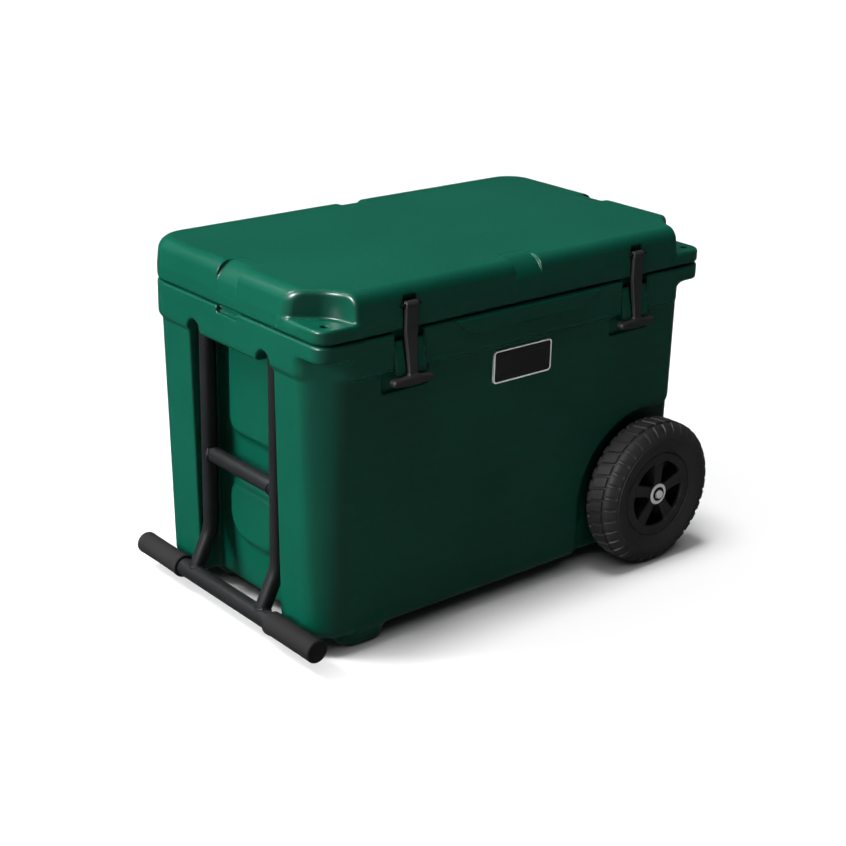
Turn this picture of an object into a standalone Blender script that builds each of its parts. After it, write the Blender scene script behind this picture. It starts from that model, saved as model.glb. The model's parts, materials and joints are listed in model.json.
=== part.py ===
"""Wheeled hard cooler: a rotomoulded, foam-filled box with a hinged lid, two rubber T-latches,
a tow handle folded against one end, two wheels on a through axle and a screw-in drain plug.

Metres, +Z up. The origin is on the floor under the middle of the whole object.
+X points to the wheel end, -Y to the front, where the latches are.
"""

import math

import bmesh
import bpy
from mathutils import Matrix, Vector

# ---------------------------------------------------------------- driving dimensions
OVERALL_LENGTH = 0.724
OVERALL_WIDTH = 0.473
OVERALL_HEIGHT = 0.495
RIM_LENGTH = 0.680
RIM_WIDTH = 0.406
WHEEL_OUT = 0.020
FIT_GAP = 0.0003

WHEEL_END = OVERALL_LENGTH / 2 - WHEEL_OUT
HANDLE_END = WHEEL_END - RIM_LENGTH
MID_X = (WHEEL_END + HANDLE_END) / 2
HALF_WIDTH = RIM_WIDTH / 2

# Body
BODY_BOTTOM = 0.028
FOOT_BOTTOM = 0.0033
SKIRT_BOTTOM = 0.383
RIM_UNDERSIDE = 0.412
RIM_TOP = 0.437
SKIRT_STEP = 0.008
TAPER = 0.009
BODY_CORNER = 0.055
RIM_CORNER = 0.026
CORNER_SEGMENTS = 5
LINER = 0.004
OUTER_SKIN = 0.005
FOOT_START_X = HANDLE_END + 0.057
FOOT_END_X = HANDLE_END + 0.136
FOOT_INNER_Y = 0.090
FOOT_OUTER_Y = 0.180
FOOT_PAD_INSET = 0.012
FILL_X = MID_X - 0.12
FILL_RADIUS = 0.010
LOCK_HOLE_IN = 0.021
LOCK_HOLE_RADIUS = 0.005
SHACKLE_ROOM = 0.012
BADGE_LENGTH = 0.104
BADGE_HEIGHT = 0.0455
BADGE_Z = 0.354
BADGE_FRONT = 0.0065
BADGE_BACK_Y = -HALF_WIDTH + 0.0105

FINGER_LIP_OUT = 0.0025
FINGER_LIP_FOOT_Z = 0.414
FINGER_LIP_FOOT_HALF = 0.100
FINGER_LIP_TOP_HALF = 0.130
STRAP_NOTCH_HALF = 0.024
STRAP_NOTCH_DEPTH = 0.010
STRAP_GROOVE_DEPTH = 0.003

# Ice compartment
INSIDE_HALF_WIDTH = 0.155
INSIDE_FLOOR = 0.079
INSIDE_STEP_TOP = 0.266
INSIDE_HANDLE_END = MID_X - 0.250
INSIDE_STEP_END = MID_X + 0.112
INSIDE_WHEEL_END = MID_X + 0.264
INSIDE_CORNER = 0.028

# Lid
LID_BOTTOM = 0.441
LID_FLANGE_TOP = 0.458
LID_TOP = OVERALL_HEIGHT
LID_PLUG_DEPTH = 0.014
LID_PLUG_GAP = 0.006
LID_DRAFT = 0.004
LID_ROUND = 0.014
LID_FOAM_INSET = 0.062
GASKET_OUT = 0.014
GASKET_WIDTH = 0.009
GASKET_DEEP = 0.004
HINGE_Y = HALF_WIDTH + 0.004
HINGE_Z = (RIM_TOP + LID_BOTTOM) / 2
HINGE_RADIUS = 0.009
HINGE_PIN_RADIUS = 0.0032
HINGE_CENTRES = (("left", MID_X - 0.215), ("right", MID_X + 0.215))
HINGE_KNUCKLE = 0.030
HINGE_PLAY = 0.0005

# Latches
LATCH_X = 0.2015
LATCH_PIN_Z = 0.470
LATCH_PIN_Y = -HALF_WIDTH + 0.001
LATCH_PIN_RADIUS = 0.0025
LATCH_PIN_HALF = 0.0165
LATCH_EYE_RADIUS = 0.0055
LATCH_BAR_Z = 0.3735
LATCH_BAR_OUT = 0.006
LATCH_BAR_LENGTH = 0.078
KEEPER_BOTTOM = LATCH_BAR_Z + 0.0070
KEEPER_OUT = 0.005
STRAP_NARROW_Z = 0.400
STRAP_WIDE = 0.0225
STRAP_NARROW = 0.0155
STRAP_THICK = 0.007
STRAP_OUT = 0.004

# Handle
ARM_X = HANDLE_END + 0.022
ARM_Y = 0.080
PIVOT_Z = 0.389
TUBE_RADIUS = 0.0111
TUBE_WALL = 0.0016
CROSSBAR_RADIUS = 0.0127
GRIP_RADIUS = 0.0165
CROSSBAR_X = -OVERALL_LENGTH / 2 + GRIP_RADIUS
CROSSBAR_Z = 0.036
CROSSBAR_HALF = 0.204
ARM_BEND_Z = 0.098
ARM_END = 0.008
MID_BAR_Z = 0.210
GRIP_START = 0.106
GRIP_END = 0.208
RECESS_HALF = 0.100
RECESS_X = HANDLE_END + 0.046
PANEL_X = RECESS_X - 0.009
PANEL_HALF = 0.048
PANEL_SLOPE = 0.014
POCKET_REACH = 0.032
NOTCH_HALF = 0.0145
PIN_RADIUS = 0.004
PIN_HALF = 0.026
BUSHING_RADIUS = 0.0065

# Wheels
WHEEL_RADIUS = 0.108
AXLE_X = OVERALL_LENGTH / 2 - WHEEL_RADIUS
AXLE_Z = WHEEL_RADIUS
AXLE_RADIUS = 0.00635
WELL_RADIUS = 0.120
WELL_Y = 0.173
TYRE_OUTER = OVERALL_WIDTH / 2
TYRE_INNER = TYRE_OUTER - 0.058
RIM_DISH_RADIUS = 0.0635
RIM_FACE = TYRE_OUTER - 0.008
RIM_WEB = TYRE_OUTER - 0.034
HUB_RADIUS = 0.015
HUB_BORE = 0.0100
SPOKES = 5
AXLE_HALF = RIM_FACE + 0.003
SLEEVE_LENGTH = 0.022
SLEEVE_RADIUS = 0.0095

# Drain
DRAIN_Z = 0.086
DRAIN_BORE = 0.0075
DRAIN_NECK = 0.0145
DRAIN_FLANGE = 0.020
DRAIN_FLANGE_X = WHEEL_END - 0.026
DRAIN_DEPTH = 0.022

# The hollow between the liner and the outer skin
FOAM_HANDLE_END = RECESS_X + OUTER_SKIN
FOAM_WHEEL_END = WHEEL_END - SKIRT_STEP - TAPER - OUTER_SKIN - 0.004
FOAM_HALF_WIDTH = HALF_WIDTH - SKIRT_STEP - TAPER - OUTER_SKIN - 0.005
FOAM_TOP = 0.425

GREEN = (0.004, 0.062, 0.035, 1.0)
BLACK_RUBBER = (0.012, 0.012, 0.013, 1.0)
GREY_GRIP = (0.040, 0.040, 0.041, 1.0)
BLACK_PAINT = (0.014, 0.014, 0.016, 1.0)
BLACK_PLASTIC = (0.018, 0.018, 0.019, 1.0)
STEEL = (0.45, 0.45, 0.46, 1.0)
FOAM = (0.72, 0.66, 0.48, 1.0)

for old in list(bpy.data.objects):
    bpy.data.objects.remove(old)

PARTS = bpy.data.collections.new("wheeled_cooler")
CUTTERS = bpy.data.collections.new("wheeled_cooler_cutters")
for collection in (PARTS, CUTTERS):
    bpy.context.scene.collection.children.link(collection)


# ---------------------------------------------------------------- small tools
def finish(name, colour, roughness, metallic=0.0):
    """A material of its own for one sub-part."""
    material = bpy.data.materials.new(name)
    material.use_nodes = True
    shader = material.node_tree.nodes["Principled BSDF"]
    shader.inputs["Base Color"].default_value = colour
    shader.inputs["Roughness"].default_value = roughness
    shader.inputs["Metallic"].default_value = metallic
    material.diffuse_color = colour
    return material


def add_object(name, bm, origin=(0.0, 0.0, 0.0), material=None, smooth=True):
    """Makes an object of a bmesh in world coordinates, with its origin on the given point."""
    bmesh.ops.recalc_face_normals(bm, faces=bm.faces)
    bmesh.ops.translate(bm, verts=bm.verts, vec=-Vector(origin))
    mesh = bpy.data.meshes.new(name)
    bm.to_mesh(mesh)
    bm.free()
    if smooth:
        mesh.shade_smooth()
        mesh.set_sharp_from_angle(angle=math.radians(35))
    obj = bpy.data.objects.new(name, mesh)
    obj.location = origin
    if material:
        mesh.materials.append(material)
        PARTS.objects.link(obj)
    else:
        obj.hide_render = True
        obj.display_type = "WIRE"
        CUTTERS.objects.link(obj)
    return obj


def combine(obj, others, operation="DIFFERENCE"):
    """Boolean modifiers, one for each other object."""
    for other in others:
        modifier = obj.modifiers.new(other.name, "BOOLEAN")
        modifier.operation = operation
        modifier.object = other
        modifier.solver = "EXACT"
    return obj


def round_edges(bm, chosen, radius, segments):
    """Bevels the chosen edges to a round of this radius."""
    edges = [edge for edge in bm.edges if chosen(edge)]
    bmesh.ops.bevel(
        bm,
        geom=edges,
        offset=radius,
        offset_type="OFFSET",
        segments=segments,
        profile=0.5,
        affect="EDGES",
        clamp_overlap=True,
    )


def upright(edge):
    return abs(edge.verts[0].co.z - edge.verts[1].co.z) > 1e-6


def level_edge(edge, level):
    return all(abs(vert.co.z - level) < 1e-6 for vert in edge.verts)


def box_mesh(low, high, bottom_inset=0.0, corner=0.0, top=0.0, bottom=0.0):
    """A box from its low to its high corner, drawn in by bottom_inset at its foot.

    Its upright edges get the corner radius, and its top and bottom edges their own.
    """
    bm = bmesh.new()
    bmesh.ops.create_cube(bm, size=1.0)
    centre = [(a + b) / 2 for a, b in zip(low, high)]
    for vert in bm.verts:
        inset = bottom_inset if vert.co.z < 0 else 0.0
        signs = [math.copysign(1.0, c) for c in vert.co]
        halves = [(b - a) / 2 for a, b in zip(low, high)]
        vert.co.x = centre[0] + signs[0] * (halves[0] - inset)
        vert.co.y = centre[1] + signs[1] * (halves[1] - inset)
        vert.co.z = centre[2] + signs[2] * halves[2]
    if corner:
        round_edges(bm, upright, corner, CORNER_SEGMENTS)
    for radius, level in ((top, high[2]), (bottom, low[2])):
        if radius:
            round_edges(bm, lambda e: level_edge(e, level), radius, 2)
    return bm


def box(name, low, high, material=None, origin=(0.0, 0.0, 0.0), **shape):
    return add_object(name, box_mesh(low, high, **shape), origin, material)


def cylinder_mesh(start, end, radius, segments=24, end_radius=None):
    """A closed cylinder or cone between two points."""
    start = Vector(start)
    end = Vector(end)
    axis = end - start
    bm = bmesh.new()
    turn = Vector((0, 0, 1)).rotation_difference(axis).to_matrix().to_4x4()
    bmesh.ops.create_cone(
        bm,
        cap_ends=True,
        segments=segments,
        radius1=radius,
        radius2=radius if end_radius is None else end_radius,
        depth=axis.length,
        matrix=Matrix.Translation((start + end) / 2) @ turn,
    )
    return bm


def cylinder(name, start, end, radius, material=None, origin=(0.0, 0.0, 0.0), segments=24):
    return add_object(name, cylinder_mesh(start, end, radius, segments), origin, material)


def prism(name, outline, low_y, high_y, material=None, origin=(0.0, 0.0, 0.0)):
    """An outline of (x, z) points drawn out from low_y to high_y."""
    bm = bmesh.new()
    corners = [bm.verts.new((x, low_y, z)) for x, z in outline]
    face = bm.faces.new(corners)
    pulled = bmesh.ops.extrude_face_region(bm, geom=[face])["geom"]
    moved = [item for item in pulled if isinstance(item, bmesh.types.BMVert)]
    bmesh.ops.translate(bm, verts=moved, vec=(0, high_y - low_y, 0))
    return add_object(name, bm, origin, material)


def arc(centre, radius, first, last, steps):
    """Points along an arc, in degrees, both ends included."""
    points = []
    for step in range(steps + 1):
        angle = math.radians(first + (last - first) * step / steps)
        points.append((centre[0] + radius * math.cos(angle), centre[1] + radius * math.sin(angle)))
    return points


def turned(name, profile, centre, axis, material, steps=32):
    """A closed ring profile of (radius, along) points, turned round an axis through centre.

    It has to run down its outer side for the surface to face out, so one that runs up is reversed.
    No edge is made between two points on the axis.
    """
    following = profile[1:] + profile[:1]
    if sum(a[0] * b[1] - b[0] * a[1] for a, b in zip(profile, following)) > 0:
        profile = profile[::-1]
    mesh = bpy.data.meshes.new(name)
    count = len(profile)
    edges = [(i, (i + 1) % count) for i in range(count) if profile[i][0] + profile[(i + 1) % count][0] > 0]
    mesh.from_pydata([(radius, 0.0, along) for radius, along in profile], edges, [])
    mesh.materials.append(material)
    obj = bpy.data.objects.new(name, mesh)
    PARTS.objects.link(obj)
    obj.location = centre
    obj.rotation_mode = "QUATERNION"
    obj.rotation_quaternion = Vector((0, 0, 1)).rotation_difference(Vector(axis))
    screw = obj.modifiers.new("turn", "SCREW")
    screw.steps = steps
    screw.render_steps = steps
    screw.use_merge_vertices = True
    screw.merge_threshold = 0.0001
    screw.use_smooth_shade = True
    return obj


def tube_mesh(points, radius, wall, sides=12):
    """A tube with open ends along a polyline, as a closed solid with a bore."""
    rings = []
    bm = bmesh.new()
    points = [Vector(p) for p in points]
    for index, point in enumerate(points):
        before = points[max(index - 1, 0)]
        after = points[min(index + 1, len(points) - 1)]
        along = (after - before).normalized()
        side = Vector((0, 1, 0))
        if abs(along.dot(side)) > 0.9:
            side = Vector((1, 0, 0))
        side = (side - along * side.dot(along)).normalized()
        other = along.cross(side)
        pair = []
        for reach in (radius, radius - wall):
            ring = []
            for step in range(sides):
                angle = 2 * math.pi * step / sides
                ring.append(bm.verts.new(point + reach * (math.cos(angle) * side + math.sin(angle) * other)))
            pair.append(ring)
        rings.append(pair)
    for first, second in zip(rings, rings[1:]):
        for layer in (0, 1):
            for step in range(sides):
                after = (step + 1) % sides
                bm.faces.new((first[layer][step], first[layer][after], second[layer][after], second[layer][step]))
    for pair in (rings[0], rings[-1]):
        for step in range(sides):
            after = (step + 1) % sides
            bm.faces.new((pair[0][step], pair[0][after], pair[1][after], pair[1][step]))
    return bm


def side_name(side):
    return "front" if side < 0 else "back"


# ---------------------------------------------------------------- shared shapes
def outline_box(name, low_z, high_z, front_corner, back_corner, material=None, inset=0.0, **shape):
    """A box on the rim's outline, drawn in by inset, with its own front and back corner radii."""
    low = (HANDLE_END + inset, -HALF_WIDTH + inset, low_z)
    high = (WHEEL_END - inset, HALF_WIDTH - inset, high_z)
    edge_rounds = {key: shape.pop(key) for key in ("top", "bottom") if key in shape}
    bm = box_mesh(low, high, **shape)
    for radius, front in ((front_corner, True), (back_corner, False)):
        round_edges(bm, lambda e: upright(e) and (e.verts[0].co.y < 0) == front, radius, CORNER_SEGMENTS)
    for key, level in (("top", high_z), ("bottom", low_z)):
        if key in edge_rounds:
            round_edges(bm, lambda e: level_edge(e, level), edge_rounds[key], 2)
    return add_object(name, bm, material=material)


def wheel_well(name, side, grow):
    """The round wheel recess, open downwards and to the wheel end."""
    radius = WELL_RADIUS + grow
    beyond = WHEEL_END + 0.05
    outline = arc((AXLE_X, AXLE_Z), radius, 180, 90, 12)
    outline += [(beyond, AXLE_Z + radius), (beyond, -0.02), (AXLE_X - radius, -0.02)]
    low_y, high_y = sorted((side * (WELL_Y - grow), side * (HALF_WIDTH + 0.05)))
    return prism(name, outline, low_y, high_y)


def inside_space(prefix, grow, top):
    """The ice compartment: a deep part, and a shallower part over the axle."""
    half = INSIDE_HALF_WIDTH + grow
    shape = {"corner": INSIDE_CORNER + grow, "bottom": 0.012}
    deep = box(
        prefix + "_deep",
        (INSIDE_HANDLE_END - grow, -half, INSIDE_FLOOR - grow),
        (INSIDE_STEP_END + grow, half, top),
        **shape,
    )
    shallow = box(
        prefix + "_shallow",
        (INSIDE_STEP_END - 0.08, -half, INSIDE_STEP_TOP - grow),
        (INSIDE_WHEEL_END + grow, half, top),
        **shape,
    )
    return [deep, shallow]


def foam_space(name, gap, material=None):
    """The hollow between liner and outer skin, or with a gap the foam that fills it."""
    low = (FOAM_HANDLE_END + gap, -FOAM_HALF_WIDTH + gap, BODY_BOTTOM + OUTER_SKIN + gap)
    high = (FOAM_WHEEL_END - gap, FOAM_HALF_WIDTH - gap, FOAM_TOP - gap)
    space = box(name, low, high, material, corner=0.03)
    away = LINER + gap
    cuts = inside_space(name + "_tub", away, 0.60)
    for side in (-1, 1):
        cuts.append(wheel_well(f"{name}_well_{side_name(side)}", side, away))
    cuts.append(across(name + "_axle", AXLE_X, AXLE_Z, 0.3, 0.0135 + gap))
    tunnel_start = (INSIDE_STEP_END - 0.03, 0, DRAIN_Z)
    socket_start = (DRAIN_FLANGE_X - DRAIN_DEPTH - LINER - gap, 0, DRAIN_Z)
    drain_end = (WHEEL_END, 0, DRAIN_Z)
    cuts.append(cylinder(name + "_tunnel", tunnel_start, drain_end, DRAIN_BORE + away, segments=16))
    cuts.append(cylinder(name + "_socket", socket_start, drain_end, DRAIN_FLANGE + away, segments=20))
    return combine(space, cuts)


def across(name, x, z, half, radius, material=None, segments=20):
    """A rod or bore along Y, centred on the middle plane."""
    return cylinder(name, (x, -half, z), (x, half, z), radius, material, segments=segments)


def latch_places():
    return (("left", MID_X - LATCH_X), ("right", MID_X + LATCH_X))


# ---------------------------------------------------------------- hinge
def hinge_spans():
    """(name, start, end, owner) of each knuckle along X: the lid's is between the body's two."""
    spans = []
    half = HINGE_KNUCKLE / 2
    for name, centre in HINGE_CENTRES:
        spans.append((name + "_outer", centre - half - HINGE_KNUCKLE, centre - half - HINGE_PLAY, "body"))
        spans.append((name + "_middle", centre - half, centre + half, "lid"))
        spans.append((name + "_inner", centre + half + HINGE_PLAY, centre + half + HINGE_KNUCKLE, "body"))
    return spans


def knuckles(owner):
    """Hinge knuckles with their webs, to be joined to the body or the lid."""
    pieces = []
    for name, start, end, whose in hinge_spans():
        if whose != owner:
            continue
        low_z, high_z = (RIM_UNDERSIDE + 0.004, HINGE_Z) if owner == "body" else (HINGE_Z, LID_FLANGE_TOP)
        pieces.append(
            cylinder(f"{owner}_knuckle_{name}", (start, HINGE_Y, HINGE_Z), (end, HINGE_Y, HINGE_Z), HINGE_RADIUS)
        )
        pieces.append(
            box(
                f"{owner}_knuckle_web_{name}",
                (start, HALF_WIDTH - 0.012, low_z),
                (end, HINGE_Y + HINGE_RADIUS, high_z),
            )
        )
    return pieces


def hinge_cuts(owner):
    """Bores for the pins, and room round the other shell's knuckles."""
    cuts = []
    for name, start, end, whose in hinge_spans():
        if whose != owner:
            room_start = (start - 0.001, HINGE_Y, HINGE_Z)
            room_end = (end + 0.001, HINGE_Y, HINGE_Z)
            cuts.append(cylinder(f"{owner}_hinge_room_{name}", room_start, room_end, HINGE_RADIUS + 0.0015))
    for name, centre in HINGE_CENTRES:
        reach = 1.5 * HINGE_KNUCKLE + 0.004
        ends = [(centre + sign * reach, HINGE_Y, HINGE_Z) for sign in (-1, 1)]
        cuts.append(cylinder(f"{owner}_hinge_bore_{name}", *ends, HINGE_PIN_RADIUS + FIT_GAP, segments=16))
    return cuts


def hinge_pins():
    steel = finish("hinge_pin_steel", STEEL, 0.3, 1.0)
    for name, centre in HINGE_CENTRES:
        reach = 1.5 * HINGE_KNUCKLE - 0.001
        ends = [(centre + sign * reach, HINGE_Y, HINGE_Z) for sign in (-1, 1)]
        cylinder("hinge_pin_" + name, *ends, HINGE_PIN_RADIUS, steel, segments=16)


def lock_holes(owner, low_z, high_z, radius):
    """The padlock holes near the two front corners."""
    holes = []
    for name, x in (("left", HANDLE_END + LOCK_HOLE_IN), ("right", WHEEL_END - LOCK_HOLE_IN)):
        y = -HALF_WIDTH + LOCK_HOLE_IN
        holes.append(cylinder(f"{owner}_lock_hole_{name}", (x, y, low_z), (x, y, high_z), radius, segments=16))
    return holes


# ---------------------------------------------------------------- body
def handle_recess():
    """The recess in the handle end, with its raised middle panel and a finger pocket behind the bar."""
    out = HANDLE_END - 0.05
    low = BODY_BOTTOM - 0.05
    recess = box("handle_recess", (out, -RECESS_HALF, low), (RECESS_X, RECESS_HALF, SKIRT_BOTTOM))
    foot = PANEL_HALF + PANEL_SLOPE
    plan = [(RECESS_X + 0.02, -foot), (RECESS_X, -foot), (PANEL_X, -PANEL_HALF)]
    plan += [(x, -y) for x, y in reversed(plan)]
    bm = bmesh.new()
    base = bm.faces.new([bm.verts.new((x, y, low - 0.02)) for x, y in plan])
    pulled = bmesh.ops.extrude_face_region(bm, geom=[base])["geom"]
    moved = [item for item in pulled if isinstance(item, bmesh.types.BMVert)]
    bmesh.ops.translate(bm, verts=moved, vec=(0, 0, SKIRT_BOTTOM - low + 0.04))
    combine(recess, [add_object("handle_recess_panel", bm)])
    pocket = box(
        "finger_pocket",
        (out, -foot, MID_BAR_Z - POCKET_REACH),
        (RECESS_X, foot, MID_BAR_Z + POCKET_REACH),
        corner=0.006,
    )
    cuts = [recess, pocket]
    for side in (-1, 1):
        name = side_name(side)
        start = (out, side * ARM_Y, PIVOT_Z)
        end = (RECESS_X, side * ARM_Y, PIVOT_Z)
        cuts.append(cylinder("arm_notch_top_" + name, start, end, NOTCH_HALF, segments=20))
        low_y, high_y = sorted((side * ARM_Y - NOTCH_HALF, side * ARM_Y + NOTCH_HALF))
        cuts.append(box("arm_notch_" + name, (out, low_y, SKIRT_BOTTOM - 0.02), (RECESS_X, high_y, PIVOT_Z)))
        bore = [(ARM_X, side * ARM_Y + reach, PIVOT_Z) for reach in (-PIN_HALF - 0.001, PIN_HALF + 0.001)]
        cuts.append(cylinder("pivot_bore_" + name, *bore, PIN_RADIUS + FIT_GAP, segments=16))
    return cuts


def latch_pockets():
    """Where each latch lies in the body. The pocket is wider and deeper at its foot, for the T-bar."""
    pockets = []
    face = -HALF_WIDTH
    for name, x in latch_places():
        upper_low = (x - 0.026, face - 0.05, LATCH_BAR_Z)
        upper_high = (x + 0.026, face + 0.013, RIM_TOP + 0.02)
        lower_low = (x - 0.045, face - 0.05, LATCH_BAR_Z - 0.024)
        lower_high = (x + 0.045, face + 0.018, LATCH_BAR_Z + 0.012)
        pockets.append(box("latch_pocket_" + name, upper_low, upper_high))
        pockets.append(box("latch_bar_pocket_" + name, lower_low, lower_high))
    return pockets


def latch_keepers():
    """A moulded lug on each side of a strap, for the T-bar to hook under."""
    lugs = []
    for name, x in latch_places():
        for side, place in ((-1, "near"), (1, "far")):
            low_x, high_x = sorted((x + side * (STRAP_NARROW / 2 + 0.002), x + side * 0.0265))
            lug = box_mesh(
                (low_x, -HALF_WIDTH - KEEPER_OUT, KEEPER_BOTTOM),
                (high_x, -HALF_WIDTH + 0.024, KEEPER_BOTTOM + 0.045),
            )
            for vert in lug.verts:
                if vert.co.z > KEEPER_BOTTOM + 0.02 and vert.co.y < -HALF_WIDTH:
                    vert.co.y = -HALF_WIDTH + 0.003
            lugs.append(add_object(f"latch_keeper_{name}_{place}", lug))
    return lugs


def moulded_feet():
    feet = []
    for side in (-1, 1):
        low_y, high_y = sorted((side * FOOT_INNER_Y, side * FOOT_OUTER_Y))
        low = (FOOT_START_X, low_y, FOOT_BOTTOM)
        high = (FOOT_END_X, high_y, BODY_BOTTOM + 0.02)
        feet.append(
            box("moulded_foot_" + side_name(side), low, high, bottom_inset=0.006, corner=0.024, bottom=0.004)
        )
    return feet


def finger_lip():
    """A shallow lip under the lid's front edge, with slanted ends."""
    outline = [
        (MID_X - FINGER_LIP_FOOT_HALF, FINGER_LIP_FOOT_Z),
        (MID_X + FINGER_LIP_FOOT_HALF, FINGER_LIP_FOOT_Z),
        (MID_X + FINGER_LIP_TOP_HALF, RIM_TOP - 0.001),
        (MID_X - FINGER_LIP_TOP_HALF, RIM_TOP - 0.001),
    ]
    return prism("finger_lip", outline, -HALF_WIDTH - FINGER_LIP_OUT, -HALF_WIDTH + 0.010)


def strap_groove(name, face, turn):
    """A shallow groove over the lid's edge for a tie-down strap.

    It is drawn for an edge whose side stands face out from the axis, then turned about it.
    """
    wall = face - LID_DRAFT - STRAP_GROOVE_DEPTH
    top = LID_TOP - STRAP_GROOVE_DEPTH
    outline = [(wall - 0.030, top)]
    outline += arc((wall - LID_ROUND, top - LID_ROUND), LID_ROUND, 90, 0, 4)
    outline += [(wall, LID_FLANGE_TOP), (face + 0.02, LID_FLANGE_TOP), (face + 0.02, LID_TOP + 0.02)]
    outline.append((wall - 0.030, LID_TOP + 0.02))
    groove = prism(name, outline, -STRAP_NOTCH_HALF, STRAP_NOTCH_HALF)
    groove.location.x = MID_X
    groove.rotation_euler.z = math.radians(turn)
    return groove


def body_shell():
    shell = outline_box(
        "body_shell",
        BODY_BOTTOM,
        SKIRT_BOTTOM + 0.02,
        BODY_CORNER,
        BODY_CORNER,
        finish("body_green", GREEN, 0.32),
        inset=SKIRT_STEP,
        bottom_inset=TAPER,
        bottom=0.012,
    )
    skirt = outline_box("skirt", SKIRT_BOTTOM, RIM_UNDERSIDE + 0.01, BODY_CORNER, BODY_CORNER, bottom=0.003)
    rim = outline_box("rim", RIM_UNDERSIDE, RIM_TOP, RIM_CORNER, BODY_CORNER, bottom=0.003, top=0.003)
    combine(shell, [skirt, rim, finger_lip()] + moulded_feet() + knuckles("body"), "UNION")
    cuts = handle_recess() + latch_pockets() + hinge_cuts("body")
    cuts += inside_space("inside", 0.0, 0.60)
    cuts.append(foam_space("foam_hollow", 0.0))
    cuts.append(across("axle_bore", AXLE_X, AXLE_Z, 0.3, AXLE_RADIUS + 0.0006))
    for side in (-1, 1):
        name = side_name(side)
        cuts.append(wheel_well("wheel_well_" + name, side, 0.0))
        seat = [(AXLE_X, side * y, AXLE_Z) for y in (WELL_Y - SLEEVE_LENGTH - FIT_GAP, 0.3)]
        cuts.append(cylinder("axle_sleeve_seat_" + name, *seat, SLEEVE_RADIUS + FIT_GAP, segments=20))
    fill = [(FILL_X, 0, z) for z in (0.0, BODY_BOTTOM + 0.02)]
    cuts.append(cylinder("body_fill_hole", *fill, FILL_RADIUS + FIT_GAP, segments=20))
    drain_end = (WHEEL_END + 0.02, 0, DRAIN_Z)
    cuts.append(cylinder("drain_tunnel", (INSIDE_STEP_END - 0.02, 0, DRAIN_Z), drain_end, DRAIN_BORE, segments=16))
    neck_start = (DRAIN_FLANGE_X - DRAIN_DEPTH - FIT_GAP, 0, DRAIN_Z)
    cuts.append(cylinder("drain_neck_seat", neck_start, drain_end, DRAIN_NECK + FIT_GAP, segments=24))
    flange_start = (DRAIN_FLANGE_X - 0.003 - FIT_GAP, 0, DRAIN_Z)
    cuts.append(cylinder("drain_flange_seat", flange_start, drain_end, DRAIN_FLANGE + 0.003, segments=28))
    badge_low = (MID_X - BADGE_LENGTH / 2 - FIT_GAP, -HALF_WIDTH - 0.02, BADGE_Z - BADGE_HEIGHT / 2 - FIT_GAP)
    badge_high = (MID_X + BADGE_LENGTH / 2 + FIT_GAP, BADGE_BACK_Y, BADGE_Z + BADGE_HEIGHT / 2 + FIT_GAP)
    cuts.append(box("badge_seat", badge_low, badge_high))
    notch_low = (HANDLE_END - 0.02, -STRAP_NOTCH_HALF, RIM_TOP - 0.014)
    notch_high = (HANDLE_END + STRAP_NOTCH_DEPTH, STRAP_NOTCH_HALF, RIM_TOP + 0.02)
    cuts.append(box("strap_notch", notch_low, notch_high))
    cuts += lock_holes("body", RIM_UNDERSIDE - 0.04, RIM_TOP + 0.02, LOCK_HOLE_RADIUS)
    cuts += lock_holes("shackle", RIM_UNDERSIDE - 0.034, RIM_UNDERSIDE, SHACKLE_ROOM)
    combine(shell, cuts)
    combine(shell, latch_keepers(), "UNION")


def body_fittings():
    foam_space("body_foam", FIT_GAP, finish("body_foam_cream", FOAM, 0.9))
    plug_ends = [(FILL_X, 0, z) for z in (BODY_BOTTOM, BODY_BOTTOM + OUTER_SKIN - FIT_GAP)]
    cylinder("body_fill_plug", *plug_ends, FILL_RADIUS, finish("fill_plug_black", BLACK_PLASTIC, 0.5), segments=20)
    rubber = finish("foot_rubber", BLACK_RUBBER, 0.8)
    inset = FOOT_PAD_INSET
    for side in (-1, 1):
        low_y, high_y = sorted((side * (FOOT_INNER_Y + inset), side * (FOOT_OUTER_Y - inset)))
        low = (FOOT_START_X + inset, low_y, 0.0)
        high = (FOOT_END_X - inset, high_y, FOOT_BOTTOM - FIT_GAP)
        box("foot_pad_" + side_name(side), low, high, rubber, corner=0.014, bottom=0.001)
    badge_low = (MID_X - BADGE_LENGTH / 2, -HALF_WIDTH + BADGE_FRONT, BADGE_Z - BADGE_HEIGHT / 2)
    badge_high = (MID_X + BADGE_LENGTH / 2, BADGE_BACK_Y - FIT_GAP, BADGE_Z + BADGE_HEIGHT / 2)
    box("badge_plate", badge_low, badge_high, finish("badge_black", BLACK_PLASTIC, 0.4))
    across("axle", AXLE_X, AXLE_Z, AXLE_HALF, AXLE_RADIUS, finish("axle_steel", STEEL, 0.3, 1.0))
    nylon = finish("sleeve_nylon", BLACK_PLASTIC, 0.5)
    for side in (-1, 1):
        inner = AXLE_RADIUS + FIT_GAP
        length = SLEEVE_LENGTH
        profile = [(SLEEVE_RADIUS, length), (SLEEVE_RADIUS, 0.0), (inner, 0.0), (inner, length)]
        seat = (AXLE_X, side * (WELL_Y - length), AXLE_Z)
        turned("axle_sleeve_" + side_name(side), profile, seat, (0, side, 0), nylon, 20)


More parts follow.
